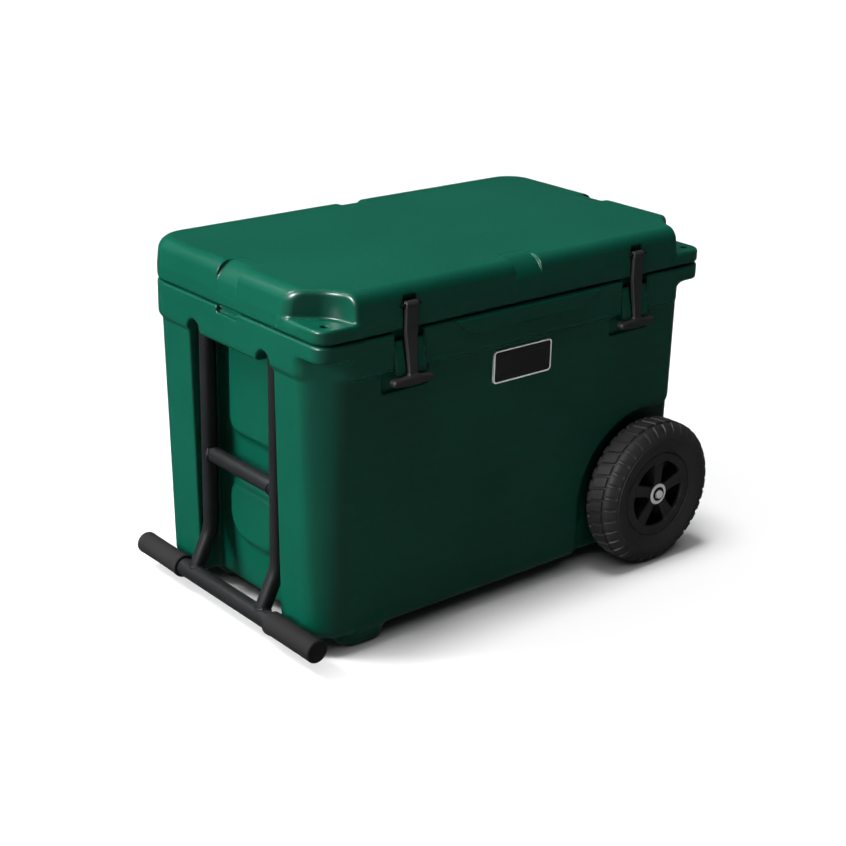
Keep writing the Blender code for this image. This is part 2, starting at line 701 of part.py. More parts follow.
# ---------------------------------------------------------------- drain
def drain():
    black = finish("drain_black", BLACK_PLASTIC, 0.45)
    bore = DRAIN_NECK - 0.003
    fitting = [
        (DRAIN_FLANGE, 0.0),
        (DRAIN_FLANGE, -0.003),
        (DRAIN_NECK, -0.003),
        (DRAIN_NECK, -DRAIN_DEPTH),
        (bore, -DRAIN_DEPTH),
        (bore, 0.0),
    ]
    turned("drain_fitting", fitting, (DRAIN_FLANGE_X, 0, DRAIN_Z), (1, 0, 0), black, 28)
    seal = [(bore + 0.004, 0.0025), (bore + 0.004, 0.0), (bore - 0.0005, 0.0), (bore - 0.0005, 0.0025)]
    seal_place = (DRAIN_FLANGE_X + FIT_GAP, 0, DRAIN_Z)
    turned("drain_gasket", seal, seal_place, (1, 0, 0), finish("drain_gasket_grey", BLACK_RUBBER, 0.7), 28)
    head = 0.0028 + FIT_GAP
    shank = bore - 0.0009
    plug = [
        (0.0, head + 0.012),
        (0.0135, head + 0.012),
        (0.0155, head + 0.010),
        (0.0175, head + 0.002),
        (0.0175, head),
        (shank, head),
        (shank, -DRAIN_DEPTH + 0.004),
        (0.0, -DRAIN_DEPTH + 0.004),
    ]
    turned("drain_plug", plug, (DRAIN_FLANGE_X, 0, DRAIN_Z), (1, 0, 0), black, 28)


# ---------------------------------------------------------------- lid
def lid_shell():
    material = finish("lid_green", GREEN, 0.32)
    shell = outline_box("lid_shell", LID_BOTTOM, LID_FLANGE_TOP + 0.002, RIM_CORNER, BODY_CORNER, material, bottom=0.003)
    crown = outline_box("lid_crown", LID_BOTTOM + 0.006, LID_TOP, BODY_CORNER, BODY_CORNER, bottom_inset=-LID_DRAFT,
                        inset=LID_DRAFT, top=LID_ROUND)
    plan = [(-0.02, 0.080), (0.006, 0.074), (0.050, 0.039), (0.056, 0.030), (0.058, -0.02), (-0.02, -0.02)]
    tabs = []
    for name, end, sign in (("left", HANDLE_END, 1), ("right", WHEEL_END, -1)):
        bm = bmesh.new()
        outline = [bm.verts.new((end + sign * x, -HALF_WIDTH + y, LID_FLANGE_TOP)) for x, y in plan]
        pulled = bmesh.ops.extrude_face_region(bm, geom=[bm.faces.new(outline)])["geom"]
        moved = [item for item in pulled if isinstance(item, bmesh.types.BMVert)]
        bmesh.ops.translate(bm, verts=moved, vec=(0, 0, 0.08))
        tabs.append(add_object("lock_tab_" + name, bm))
    combine(crown, tabs)
    liner = box(
        "lid_liner",
        (INSIDE_HANDLE_END + LID_PLUG_GAP, -INSIDE_HALF_WIDTH + LID_PLUG_GAP, LID_BOTTOM - LID_PLUG_DEPTH),
        (INSIDE_WHEEL_END - LID_PLUG_GAP, INSIDE_HALF_WIDTH - LID_PLUG_GAP, LID_BOTTOM + 0.01),
        bottom_inset=0.006,
        corner=INSIDE_CORNER,
    )
    combine(shell, [crown, liner] + knuckles("lid"), "UNION")
    cuts = hinge_cuts("lid") + lock_holes("lid", LID_BOTTOM - 0.02, LID_FLANGE_TOP + 0.02, LOCK_HOLE_RADIUS)
    for name, x in latch_places():
        slot_low = (x - STRAP_WIDE / 2 - 0.0015, -HALF_WIDTH - 0.02, LID_BOTTOM - 0.02)
        slot_high = (x + STRAP_WIDE / 2 + 0.0015, -HALF_WIDTH + 0.010, LATCH_PIN_Z + 0.012)
        cuts.append(box("lid_latch_slot_" + name, slot_low, slot_high))
        pin = [(x + sign * (LATCH_PIN_HALF + 0.0005), LATCH_PIN_Y, LATCH_PIN_Z) for sign in (-1, 1)]
        cuts.append(cylinder("latch_pin_bore_" + name, *pin, LATCH_PIN_RADIUS + FIT_GAP, segments=14))
    for name, face, turn in (
        ("right", RIM_LENGTH / 2, 0),
        ("back", HALF_WIDTH, 90),
        ("left", RIM_LENGTH / 2, 180),
        ("front", HALF_WIDTH, 270),
    ):
        cuts.append(strap_groove("strap_groove_" + name, face, turn))
    cuts.append(lid_foam_space("lid_hollow", 0.0))
    cuts.append(gasket_seat())
    fill = [(MID_X, 0, z) for z in (LID_BOTTOM - LID_PLUG_DEPTH - 0.01, LID_BOTTOM + 0.006)]
    cuts.append(cylinder("lid_fill_hole", *fill, FILL_RADIUS + FIT_GAP, segments=20))
    combine(shell, cuts)


def lid_foam_space(name, gap, material=None):
    """The hollow inside the lid, or with a gap the foam that fills it."""
    inset = LID_FOAM_INSET + gap
    low = (HANDLE_END + inset, -HALF_WIDTH + inset, LID_BOTTOM + GASKET_DEEP + LINER + gap)
    high = (WHEEL_END - inset, HALF_WIDTH - inset, LID_TOP - LINER - gap)
    upper = box(name, low, high, material, corner=0.060)
    plug_inset = LID_PLUG_GAP + LINER + 0.006 + gap
    lower = box(
        name + "_plug",
        (INSIDE_HANDLE_END + plug_inset, -INSIDE_HALF_WIDTH + plug_inset, LID_BOTTOM - LID_PLUG_DEPTH + LINER + gap),
        (INSIDE_WHEEL_END - plug_inset, INSIDE_HALF_WIDTH - plug_inset, LID_BOTTOM + 0.03),
        corner=0.02,
    )
    return combine(upper, [lower], "UNION")


def gasket_ring(name, grow, low_z, high_z, material=None):
    """A flat ring round the compartment's mouth, wider by grow on each side."""
    outer = box(
        name,
        (INSIDE_HANDLE_END - GASKET_OUT - grow, -INSIDE_HALF_WIDTH - GASKET_OUT - grow, low_z),
        (INSIDE_WHEEL_END + GASKET_OUT + grow, INSIDE_HALF_WIDTH + GASKET_OUT + grow, high_z),
        material,
        corner=INSIDE_CORNER + GASKET_OUT,
    )
    reach = GASKET_OUT - GASKET_WIDTH - grow
    inner = box(
        name + "_inner",
        (INSIDE_HANDLE_END - reach, -INSIDE_HALF_WIDTH - reach, low_z - 0.01),
        (INSIDE_WHEEL_END + reach, INSIDE_HALF_WIDTH + reach, high_z + 0.01),
        corner=INSIDE_CORNER + reach,
    )
    return combine(outer, [inner])


def gasket_seat():
    return gasket_ring("gasket_seat", FIT_GAP, LID_BOTTOM - 0.01, LID_BOTTOM + GASKET_DEEP + FIT_GAP)


def lid_fittings():
    lid_foam_space("lid_foam", FIT_GAP, finish("lid_foam_cream", FOAM, 0.9))
    plug_ends = [(MID_X, 0, LID_BOTTOM - LID_PLUG_DEPTH + z) for z in (0.0, LINER - FIT_GAP)]
    cylinder("lid_fill_plug", *plug_ends, FILL_RADIUS, finish("lid_plug_black", BLACK_PLASTIC, 0.5), segments=20)
    rubber = finish("lid_gasket_rubber", BLACK_RUBBER, 0.6)
    gasket_ring("lid_gasket", 0.0, RIM_TOP + FIT_GAP, LID_BOTTOM + GASKET_DEEP, rubber)
    steel = finish("latch_pin_steel", STEEL, 0.3, 1.0)
    for name, x in latch_places():
        ends = [(x + sign * LATCH_PIN_HALF, LATCH_PIN_Y, LATCH_PIN_Z) for sign in (-1, 1)]
        cylinder("latch_pin_" + name, *ends, LATCH_PIN_RADIUS, steel, segments=14)


# ---------------------------------------------------------------- latches
def latch_strap(name, x):
    """The strap below the eye: it narrows, and below the rim it leans out towards the T-bar."""
    wide = STRAP_WIDE / 2
    thin = STRAP_NARROW / 2
    right_side = [(x + wide, LATCH_PIN_Z), (x + wide, RIM_TOP), (x + thin, STRAP_NARROW_Z), (x + thin, LATCH_BAR_Z)]
    left_side = [(2 * x - px, z) for px, z in reversed(right_side)]
    front = -HALF_WIDTH - STRAP_OUT
    strap = prism("latch_band_" + name, right_side + left_side, front, front + STRAP_THICK)
    for vert in strap.data.vertices:
        below = max(0.0, RIM_TOP - vert.co.z) / (RIM_TOP - LATCH_BAR_Z)
        vert.co.y -= LATCH_BAR_OUT * below
    return strap


def latches():
    """Each latch is one rubber moulding: an eye round the pin, a strap that narrows, and a T-bar."""
    rubber = finish("latch_rubber", BLACK_RUBBER, 0.6)
    for name, x in latch_places():
        origin = (x, LATCH_PIN_Y, LATCH_PIN_Z)
        half = STRAP_WIDE / 2
        eye_ends = [(x - half, LATCH_PIN_Y, LATCH_PIN_Z), (x + half, LATCH_PIN_Y, LATCH_PIN_Z)]
        latch = cylinder("latch_strap_" + name, *eye_ends, LATCH_EYE_RADIUS, rubber, origin, segments=20)
        bar_half = LATCH_BAR_LENGTH / 2
        bar_front = -HALF_WIDTH - STRAP_OUT - LATCH_BAR_OUT - 0.002
        bar_low = (x - bar_half, bar_front, LATCH_BAR_Z - 0.0065)
        bar_high = (x + bar_half, bar_front + 0.014, LATCH_BAR_Z + 0.0065)
        bar = box("latch_bar_" + name, bar_low, bar_high)
        combine(latch, [latch_strap(name, x), bar], "UNION")
        bore = [(x + sign * 0.03, LATCH_PIN_Y, LATCH_PIN_Z) for sign in (-1, 1)]
        combine(latch, [cylinder("latch_eye_" + name, *bore, LATCH_PIN_RADIUS + FIT_GAP, segments=14)])


# ---------------------------------------------------------------- handle
def tube(name, points, radius, material, origin, cuts):
    return combine(add_object(name, tube_mesh(points, radius, TUBE_WALL), origin, material), cuts)


def handle():
    """Two bent arms, a middle bar and a crossbar, with a closed grip on each end of the crossbar."""
    paint = finish("handle_black", BLACK_PAINT, 0.35, 0.2)
    grip_rubber = finish("grip_grey", GREY_GRIP, 0.8)
    nylon = finish("pivot_nylon", BLACK_PLASTIC, 0.5)
    steel = finish("pivot_steel", STEEL, 0.3, 1.0)
    crossbar_room = across("crossbar_room", CROSSBAR_X, CROSSBAR_Z, 0.3, CROSSBAR_RADIUS + FIT_GAP, segments=24)
    pivot = (ARM_X, 0, PIVOT_Z)
    for side in (-1, 1):
        y = side * ARM_Y
        name = side_name(side)
        points = [(ARM_X, y, PIVOT_Z + ARM_END), (ARM_X, y, ARM_BEND_Z + 0.012)]
        points += [(ARM_X - 0.0013, y, ARM_BEND_Z + 0.003), (ARM_X - 0.005, y, ARM_BEND_Z - 0.007)]
        points.append((CROSSBAR_X, y, CROSSBAR_Z))
        hole = [(ARM_X, y + reach, PIVOT_Z) for reach in (-0.03, 0.03)]
        pin_room = cylinder("arm_pin_room_" + name, *hole, BUSHING_RADIUS + FIT_GAP, segments=18)
        tube("handle_arm_" + name, points, TUBE_RADIUS, paint, pivot, [crossbar_room, pin_room])
        half = TUBE_RADIUS + 0.001
        inner = PIN_RADIUS + FIT_GAP
        profile = [(BUSHING_RADIUS, half), (BUSHING_RADIUS, -half), (inner, -half), (inner, half)]
        turned("pivot_bushing_" + name, profile, (ARM_X, y, PIVOT_Z), (0, 1, 0), nylon, 18)
        pin = [(ARM_X, y + reach, PIVOT_Z) for reach in (-PIN_HALF, PIN_HALF)]
        cylinder("pivot_pin_" + name, *pin, PIN_RADIUS, steel, segments=16)
    bar_points = [(ARM_X, y, MID_BAR_Z) for y in (-ARM_Y, ARM_Y)]
    arm_rooms = []
    for side in (-1, 1):
        ends = [(ARM_X, side * ARM_Y, z) for z in (MID_BAR_Z - 0.04, MID_BAR_Z + 0.04)]
        arm_rooms.append(cylinder("arm_room_" + side_name(side), *ends, TUBE_RADIUS + FIT_GAP, segments=24))
    tube("handle_mid_bar", bar_points, TUBE_RADIUS, paint, pivot, arm_rooms)
    crossbar_points = [(CROSSBAR_X, y, CROSSBAR_Z) for y in (-CROSSBAR_HALF, CROSSBAR_HALF)]
    tube("handle_crossbar", crossbar_points, CROSSBAR_RADIUS, paint, pivot, [])
    for side in (-1, 1):
        inner = CROSSBAR_RADIUS + FIT_GAP
        profile = [
            (0.0, GRIP_END),
            (GRIP_RADIUS - 0.002, GRIP_END),
            (GRIP_RADIUS, GRIP_END - 0.002),
            (GRIP_RADIUS, GRIP_START + 0.002),
            (GRIP_RADIUS - 0.002, GRIP_START),
            (inner, GRIP_START),
            (inner, CROSSBAR_HALF + FIT_GAP),
            (0.0, CROSSBAR_HALF + FIT_GAP),
        ]
        place = (CROSSBAR_X, 0, CROSSBAR_Z)
        turned("handle_grip_" + side_name(side), profile, place, (0, side, 0), grip_rubber, 24)


# ---------------------------------------------------------------- wheels
def wheels():
    tyre_rubber = finish("tyre_rubber", BLACK_RUBBER, 0.7)
    plastic = finish("wheel_plastic", BLACK_PLASTIC, 0.45)
    nylon = finish("wheel_bushing_nylon", BLACK_PLASTIC, 0.5)
    zinc = finish("nut_zinc", STEEL, 0.25, 1.0)
    for side in (-1, 1):
        name = side_name(side)
        axis = (0, side, 0)
        centre = (AXLE_X, 0, AXLE_Z)
        seat = RIM_DISH_RADIUS + FIT_GAP
        tyre = [
            (WHEEL_RADIUS - 0.016, TYRE_OUTER),
            (WHEEL_RADIUS - 0.005, TYRE_OUTER - 0.005),
            (WHEEL_RADIUS, TYRE_OUTER - 0.014),
            (WHEEL_RADIUS, TYRE_INNER + 0.012),
            (WHEEL_RADIUS - 0.005, TYRE_INNER + 0.004),
            (WHEEL_RADIUS - 0.016, TYRE_INNER),
            (seat, TYRE_INNER + 0.004),
            (seat, TYRE_OUTER - 0.004),
        ]
        turned("tyre_" + name, tyre, centre, axis, tyre_rubber, 48)
        hub_profile = [
            (RIM_DISH_RADIUS, TYRE_OUTER - 0.005),
            (RIM_DISH_RADIUS, TYRE_INNER + 0.005),
            (HUB_BORE, TYRE_INNER + 0.005),
            (HUB_BORE, RIM_FACE),
            (HUB_RADIUS, RIM_FACE),
            (HUB_RADIUS, RIM_WEB),
            (RIM_DISH_RADIUS - 0.006, RIM_WEB),
            (RIM_DISH_RADIUS - 0.006, TYRE_OUTER - 0.005),
        ]
        centre_piece = turned("wheel_centre_" + name, hub_profile, centre, axis, plastic, 30)
        spokes = []
        for index in range(SPOKES):
            angle = math.radians(90 + 360 / SPOKES * index)
            bm = box_mesh((HUB_RADIUS - 0.002, RIM_WEB - 0.001, -0.006), (RIM_DISH_RADIUS - 0.004, RIM_FACE, 0.006))
            bmesh.ops.rotate(bm, verts=bm.verts, matrix=Matrix.Rotation(-angle, 3, "Y"))
            bmesh.ops.scale(bm, verts=bm.verts, vec=(1, side, 1))
            bmesh.ops.translate(bm, verts=bm.verts, vec=centre)
            spokes.append(add_object(f"spoke_{name}_{index + 1}", bm))
        combine(centre_piece, spokes, "UNION")
        inner = AXLE_RADIUS + FIT_GAP
        outer = HUB_BORE - FIT_GAP
        last = RIM_FACE - 0.001
        bushing = [(outer, last), (outer, TYRE_INNER + 0.004), (inner, TYRE_INNER + 0.004), (inner, last)]
        turned("wheel_bushing_" + name, bushing, centre, axis, nylon, 20)
        washer_out = TYRE_INNER + 0.004 - FIT_GAP
        washer_in = WELL_Y + FIT_GAP
        washer = [(0.013, washer_out), (0.013, washer_in), (inner, washer_in), (inner, washer_out)]
        turned("spacer_washer_" + name, washer, centre, axis, zinc, 24)
        nut_in = RIM_FACE + FIT_GAP
        nut = [
            (0.0, nut_in + 0.006),
            (0.007, nut_in + 0.006),
            (0.0085, nut_in + 0.0045),
            (0.0085, nut_in + 0.0015),
            (0.012, nut_in + 0.0015),
            (0.012, nut_in),
            (inner, nut_in),
            (inner, nut_in + 0.004),
            (0.0, nut_in + 0.004),
        ]
        turned("push_nut_" + name, nut, centre, axis, zinc, 24)


body_shell()
body_fittings()
hinge_pins()
drain()
lid_shell()
lid_fittings()
latches()
handle()
wheels()
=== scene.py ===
"""Looks of the wheeled hard cooler: the moulded body and lid, and the finished fittings.

Metres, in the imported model's frame: +Z up, the floor at 0, +X to the wheel end, -Y to the front.
The two moulded shells and the rubber latches are written as distance fields, negative inside,
and meshed on a grid. The other pieces are swept, turned or laid out in mesh code.
"""

import json
import math

import bpy
import numpy as np
from mathutils import Matrix, Vector

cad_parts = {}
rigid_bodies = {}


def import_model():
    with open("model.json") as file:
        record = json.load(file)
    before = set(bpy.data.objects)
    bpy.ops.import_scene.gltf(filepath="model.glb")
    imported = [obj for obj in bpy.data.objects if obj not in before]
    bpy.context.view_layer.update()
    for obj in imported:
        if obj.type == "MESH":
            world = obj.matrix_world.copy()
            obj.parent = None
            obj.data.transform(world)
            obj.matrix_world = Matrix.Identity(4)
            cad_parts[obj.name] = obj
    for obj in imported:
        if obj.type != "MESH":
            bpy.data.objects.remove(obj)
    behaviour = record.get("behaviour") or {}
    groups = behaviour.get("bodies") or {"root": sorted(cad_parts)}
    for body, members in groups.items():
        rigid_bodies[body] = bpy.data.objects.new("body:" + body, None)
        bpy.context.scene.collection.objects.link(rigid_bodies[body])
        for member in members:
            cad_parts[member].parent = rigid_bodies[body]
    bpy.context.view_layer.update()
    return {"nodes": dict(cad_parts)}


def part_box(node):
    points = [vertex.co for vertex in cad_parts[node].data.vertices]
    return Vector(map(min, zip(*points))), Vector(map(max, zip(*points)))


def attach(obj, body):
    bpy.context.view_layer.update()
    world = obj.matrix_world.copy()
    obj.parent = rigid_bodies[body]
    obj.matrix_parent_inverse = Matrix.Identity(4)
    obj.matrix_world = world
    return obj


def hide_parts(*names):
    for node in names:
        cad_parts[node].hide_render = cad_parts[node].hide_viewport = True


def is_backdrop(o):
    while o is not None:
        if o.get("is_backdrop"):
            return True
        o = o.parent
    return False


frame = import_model()

SIDES = ((-1, "front"), (1, "back"))

# -------- dimensions
SHELL_LOW, SHELL_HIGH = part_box("body_shell")
LID_LOW, LID_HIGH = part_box("lid_shell")
LOW_X = SHELL_LOW.x
HIGH_X = SHELL_HIGH.x
MID_X = (LOW_X + HIGH_X) / 2
HALF_LENGTH = (HIGH_X - LOW_X) / 2
HALF_WIDTH = 0.203

# Body
BODY_BOTTOM = 0.0255
FOOT_BOTTOM = 0.0033
SKIRT_BOTTOM = 0.385
TAB_BOTTOM = 0.413
RIM_TOP = 0.437
SKIRT_STEP = 0.008
BAND_ROUND = 0.007
RIM_ROUND = 0.004
TAPER = 0.009
END_GAIN = 0.003
FRONT_CORNER = 0.060
WHEEL_END_CORNER = 0.047
BACK_CORNER = 0.052
TAB_CORNER = 0.023
BOTTOM_ROUND = 0.013
FOOT_X = (LOW_X + 0.057, LOW_X + 0.136)
FOOT_Y = (0.090, 0.180)
FOOT_CORNER = 0.024
BADGE_SEAT_CORNER = 0.0066
FILL_HOLE = (MID_X - 0.12, 0.0103)
FILL_TOP = 0.0333
SLEEVE_HOLE_RADIUS = 0.0098
AXLE_HOLE_RADIUS = 0.007
LOCK_HOLE_IN = 0.021
LOCK_HOLE_RADIUS = 0.005
SCOOP_REACH = 0.0365
LIP_OUT = 0.0045
LIP_Z = (0.413, 0.4345)
LIP_HALF = (0.100, 0.130)
NOTCH_HALF_WIDTH = 0.023
NOTCH_DEPTH = 0.009

# Handle recess
RECESS_HALF = 0.0965
RECESS_X = LOW_X + 0.046
PANEL_OUT = 0.009
PANEL_HALF = 0.062
PANEL_SLOPE = 0.009
PANEL_CORNER = 0.026
PANEL_FOOT_CORNER = 0.044
PANEL_TOP = SKIRT_BOTTOM + 0.06
POCKET_Z = (0.178, 0.242)
LOWER_PANEL_FOOT = 0.088
ARM_X = LOW_X + 0.022
ARM_Y = 0.080
PIVOT_Z = 0.389
ARM_NOTCH = 0.0145

# Ice compartment
TUB_HALF = 0.155
TUB_FLOOR = 0.079
TUB_STEP_TOP = 0.266
TUB_START = MID_X - 0.250
TUB_STEP = MID_X + 0.112
TUB_END = MID_X + 0.264
TUB_CORNER = 0.028
TUB_MIDDLE = ((TUB_START + TUB_END) / 2, 0)
TUB_HALF_LENGTH = (TUB_END - TUB_START) / 2
TUB_FLOOR_ROUND = 0.014

# Hinges and latches
HINGE_Y = HALF_WIDTH + 0.004
HINGE_Z = 0.439
HINGE_X = 0.215
KNUCKLE_RADIUS = 0.009
KNUCKLE_SPAN = (0.0155, 0.045)
LATCH_X = 0.2015
LATCH_PIN = (-HALF_WIDTH + 0.001, 0.470)
LATCH_BAR_Z = 0.3735
LATCH_LEAN = 0.006
LATCH_BAR_HALF = 0.0325
POCKET_HALF = 0.024
POCKET_DEPTH = 0.012
BAR_POCKET_HALF = 0.037
BAR_POCKET_DEPTH = 0.014
BAR_HALF_DEPTH = 0.0065
BAR_HALF_HEIGHT = 0.0070
EYE_RADIUS = 0.0055
EYE_HOLE_RADIUS = 0.0028
KEEPER_Z = LATCH_BAR_Z + BAR_HALF_HEIGHT
KEEPER_HEIGHT = 0.045
KEEPER_OUTER = 0.0242
STRAP_WIDE = 0.0095
STRAP_NARROW = 0.0068
STRAP_NARROW_Z = 0.400
STRAP_FRONT = -HALF_WIDTH - 0.004
STRAP_THICK = 0.007

# Lid
LID_BOTTOM = 0.4390
FLANGE_TOP = 0.458
LID_TOP = LID_HIGH.z
LID_DRAFT = 0.004
LID_ROUND = 0.017
GROOVE_HALF = 0.0225
GROOVE_ROUND = 0.031
GROOVE_REACH = 0.045
TAB_ACROSS = 0.0545
TAB_SLANT = 0.0585
PLUG_GAP = 0.006
PLUG_DEPTH = 0.014
GASKET_BAND = (0.005, 0.014)
LID_FILL_DEPTH = 0.0096

# Wheels
TYRE_LOW, TYRE_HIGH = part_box("tyre_front")
WHEEL_RADIUS = (TYRE_HIGH.z - TYRE_LOW.z) / 2
AXLE_X = (TYRE_HIGH.x + TYRE_LOW.x) / 2
AXLE_Z = (TYRE_HIGH.z + TYRE_LOW.z) / 2
TYRE_OUTER = -TYRE_LOW.y
TYRE_INNER = -TYRE_HIGH.y
WELL_RADIUS = 0.120
WELL_Y = 0.173
WELL_ROUND = 0.006
WELL_END_ROUND = 0.015
RIM_RADIUS = 0.0635
RIM_OPENING = 0.050
RIM_BORE = 0.0575
WEB_RADIUS = 0.060
RIB_HALF = 0.0072
RIB_REACH = (0.008, 0.056)
AXLE_BORE = 0.0100
RIM_FACE = TYRE_OUTER - 0.008
RIM_WEB = TYRE_OUTER - 0.034
HUB_RADIUS = 0.0165
SPOKES = 5
LUGS = 36
GROOVE_DEPTH = 0.0030
RING_DEPTH = 0.0032

# Drain
DRAIN_Z = 0.086
DRAIN_FLANGE_X = HIGH_X - 0.026
DRAIN_FLANGE_RADIUS = 0.023
DRAIN_NECK_RADIUS = 0.0148
DRAIN_TUNNEL_RADIUS = 0.0075
DRAIN_PLUG_LOW, DRAIN_PLUG_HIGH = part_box("drain_plug")

# Handle
TUBE_RADIUS = 0.0111
CROSSBAR_RADIUS = 0.0127
GRIP_LOW, GRIP_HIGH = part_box("handle_grip_front")
GRIP_RADIUS = (GRIP_HIGH.z - GRIP_LOW.z) / 2
CROSSBAR_X = (GRIP_LOW.x + GRIP_HIGH.x) / 2
CROSSBAR_Z = (GRIP_LOW.z + GRIP_HIGH.z) / 2
ARM_TOP = PIVOT_Z + 0.008
ARM_BEND_Z = 0.098
ARM_BEND_RADIUS = 0.060
MID_BAR_Z = 0.210
MID_BAR_HALF = ARM_Y - 0.004
WELD_RADIUS = 0.0017
CROSSBAR_HALF = 0.204
HANDLE_PIECES = ("arm_tube", "mid_bar", "crossbar", "soft_grip", "weld_")

# Badge
BADGE_LOW, BADGE_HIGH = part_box("badge_plate")
BADGE_CORNER = 0.006
BADGE_BORDER_LOOPS = 4

# Stage
FLOOR_REACH = 40.0
COOLER_SUNS = (
    ("key_light", (-0.78, 0.50, 0.33), 10.4, 30),
    ("far_light", (0.90, 0.30, 0.30), 2.2, 60),
    ("top_light", (-0.12, 0.22, 0.96), 7.0, 60),
)
SOFTBOX_TARGET = (0, 0, 0.45)
AMBIENT = 0.05
CAMERA_PLACE = (-1.4820, -1.7489, 1.0839)
CAMERA_AZIMUTH = 40.201
CAMERA_ELEVATION = 20.971
CAMERA_ROLL = 1.402
CAMERA_LENS = 72.319


# -------- distance fields
def both(a, b, radius):
    """What lies in both shapes, with the edge where they meet rounded to the radius."""
    a = a + radius
    b = b + radius
    return np.minimum(np.maximum(a, b), 0) + np.hypot(np.maximum(a, 0), np.maximum(b, 0)) - radius


def either(a, b, radius):
    """What lies in either shape, with a fillet of the radius where they meet."""
    return -both(-a, -b, radius)


def cut(a, cutter, radius):
    return both(a, -cutter, radius)


def span(value, low, high):
    return np.maximum(low - value, value - high)


def rounded_plan(x, y, middle, halves, corner):
    """A rectangle in plan about its middle, with rounded corners."""
    over_x = np.abs(x - middle[0]) - halves[0] + corner
    over_y = np.abs(y - middle[1]) - halves[1] + corner
    outside = np.hypot(np.maximum(over_x, 0), np.maximum(over_y, 0))
    return np.minimum(np.maximum(over_x, over_y), 0) + outside - corner


def outline(x, y, inset, front_corner, back_corner, end_gain=0.0):
    """The cooler's outline in plan, drawn in by inset, and by end_gain less at its two ends."""
    front = np.where(x > MID_X, min(front_corner, WHEEL_END_CORNER), front_corner)
    corner = np.where(y < 0, front, back_corner) - inset
    return rounded_plan(x, y, (MID_X, 0), (HALF_LENGTH - inset + end_gain, HALF_WIDTH - inset), corner)


def from_pair(x, offset):
    """Distance along X from the nearer of two places, offset to each side of the middle."""
    return np.abs(np.abs(x - MID_X) - offset)


def tub(x, y, z):
    """The ice compartment: a deep part, and a shallower one over the axle."""
    fields = []
    for start, end, floor in ((TUB_START, TUB_STEP, TUB_FLOOR), (TUB_STEP - 0.08, TUB_END, TUB_STEP_TOP)):
        plan = rounded_plan(x, y, ((start + end) / 2, 0), ((end - start) / 2, TUB_HALF), TUB_CORNER)
        fields.append(both(plan, floor - z, TUB_FLOOR_ROUND))
    return either(fields[0], fields[1], 0.008)


def tub_edge(x, y):
    """Distance outwards from the ice compartment's upper edge, in plan."""
    return rounded_plan(x, y, TUB_MIDDLE, (TUB_HALF_LENGTH, TUB_HALF), TUB_CORNER)


def handle_recess(x, y, z):
    """The recess in the handle end, less its two raised panels."""
    side = np.abs(y)
    recess = both(both(x - RECESS_X, side - RECESS_HALF, 0.007), z - SKIRT_BOTTOM, 0.004)
    slope = PANEL_SLOPE * (RECESS_X - x) / PANEL_OUT
    steepness = math.hypot(1, PANEL_SLOPE / PANEL_OUT)
    upper_middle = (0, (POCKET_Z[1] + PANEL_TOP) / 2)
    upper_halves = (PANEL_HALF, (PANEL_TOP - POCKET_Z[1]) / 2)
    upper = rounded_plan(y, z, upper_middle, upper_halves, PANEL_CORNER)
    lower_middle = (0, (LOWER_PANEL_FOOT + POCKET_Z[0]) / 2)
    lower_halves = (PANEL_HALF, (POCKET_Z[0] - LOWER_PANEL_FOOT) / 2)
    lower_corner = np.where(z < lower_middle[1], PANEL_FOOT_CORNER, PANEL_CORNER)
    lower = rounded_plan(y, z, lower_middle, lower_halves, lower_corner)
    panels = (np.minimum(upper, lower) + slope) / steepness
    panels = both(panels, RECESS_X - PANEL_OUT - x, 0.003)
    return cut(recess, panels, 0.004)


def arm_notches(x, y, z):
    arch = np.hypot(np.abs(y) - ARM_Y, np.maximum(z - PIVOT_Z, 0)) - ARM_NOTCH
    return np.maximum(both(arch, x - RECESS_X, 0.005), SKIRT_BOTTOM - 0.02 - z)


def latch_pockets(x, y, z):
    """Where each latch lies in the body, wider and deeper at the foot for the T-bar."""
    aside = from_pair(x, LATCH_X)
    upper = both(aside - POCKET_HALF, y + HALF_WIDTH - POCKET_DEPTH, 0.003)
    upper = np.maximum(upper, span(z, LATCH_BAR_Z, RIM_TOP + 0.02))
    lower = both(aside - BAR_POCKET_HALF, y + HALF_WIDTH - BAR_POCKET_DEPTH, 0.004)
    lower = both(lower, span(z, LATCH_BAR_Z - 0.016, LATCH_BAR_Z + 0.012), 0.004)
    return either(upper, lower, 0.003)


def latch_keepers(x, y, z):
    """The moulded lug on each side of a strap, which the T-bar hooks under."""
    aside = span(from_pair(x, LATCH_X), STRAP_NARROW + 0.002, KEEPER_OUTER)
    drawn_back = 0.008 * np.clip((z - KEEPER_Z - 0.008) / 0.037, 0, 1)
    front = -HALF_WIDTH - 0.005 + drawn_back - y
    lug = both(both(aside, front, 0.002), span(z, KEEPER_Z, KEEPER_Z + KEEPER_HEIGHT), 0.0015)
    return np.maximum(lug, y + HALF_WIDTH - 0.024)


def wheel_well(x, y, z):
    """The round recess for both wheels, open downwards and to the wheel end."""
    reach = np.hypot(np.maximum(AXLE_X - x, 0), np.maximum(z - AXLE_Z, 0)) - WELL_RADIUS
    return both(reach, WELL_Y - np.abs(y), 0.006)


def moulded_feet(x, y, z):
    middle = ((FOOT_X[0] + FOOT_X[1]) / 2, (FOOT_Y[0] + FOOT_Y[1]) / 2)
    halves = ((FOOT_X[1] - FOOT_X[0]) / 2, (FOOT_Y[1] - FOOT_Y[0]) / 2)
    rise = (z - FOOT_BOTTOM) / (BODY_BOTTOM - FOOT_BOTTOM)
    plan = rounded_plan(x, np.abs(y), middle, halves, FOOT_CORNER) + 0.006 * (1 - rise)
    foot = both(plan, FOOT_BOTTOM - z, 0.005)
    return np.maximum(foot, z - BODY_BOTTOM - 0.02)


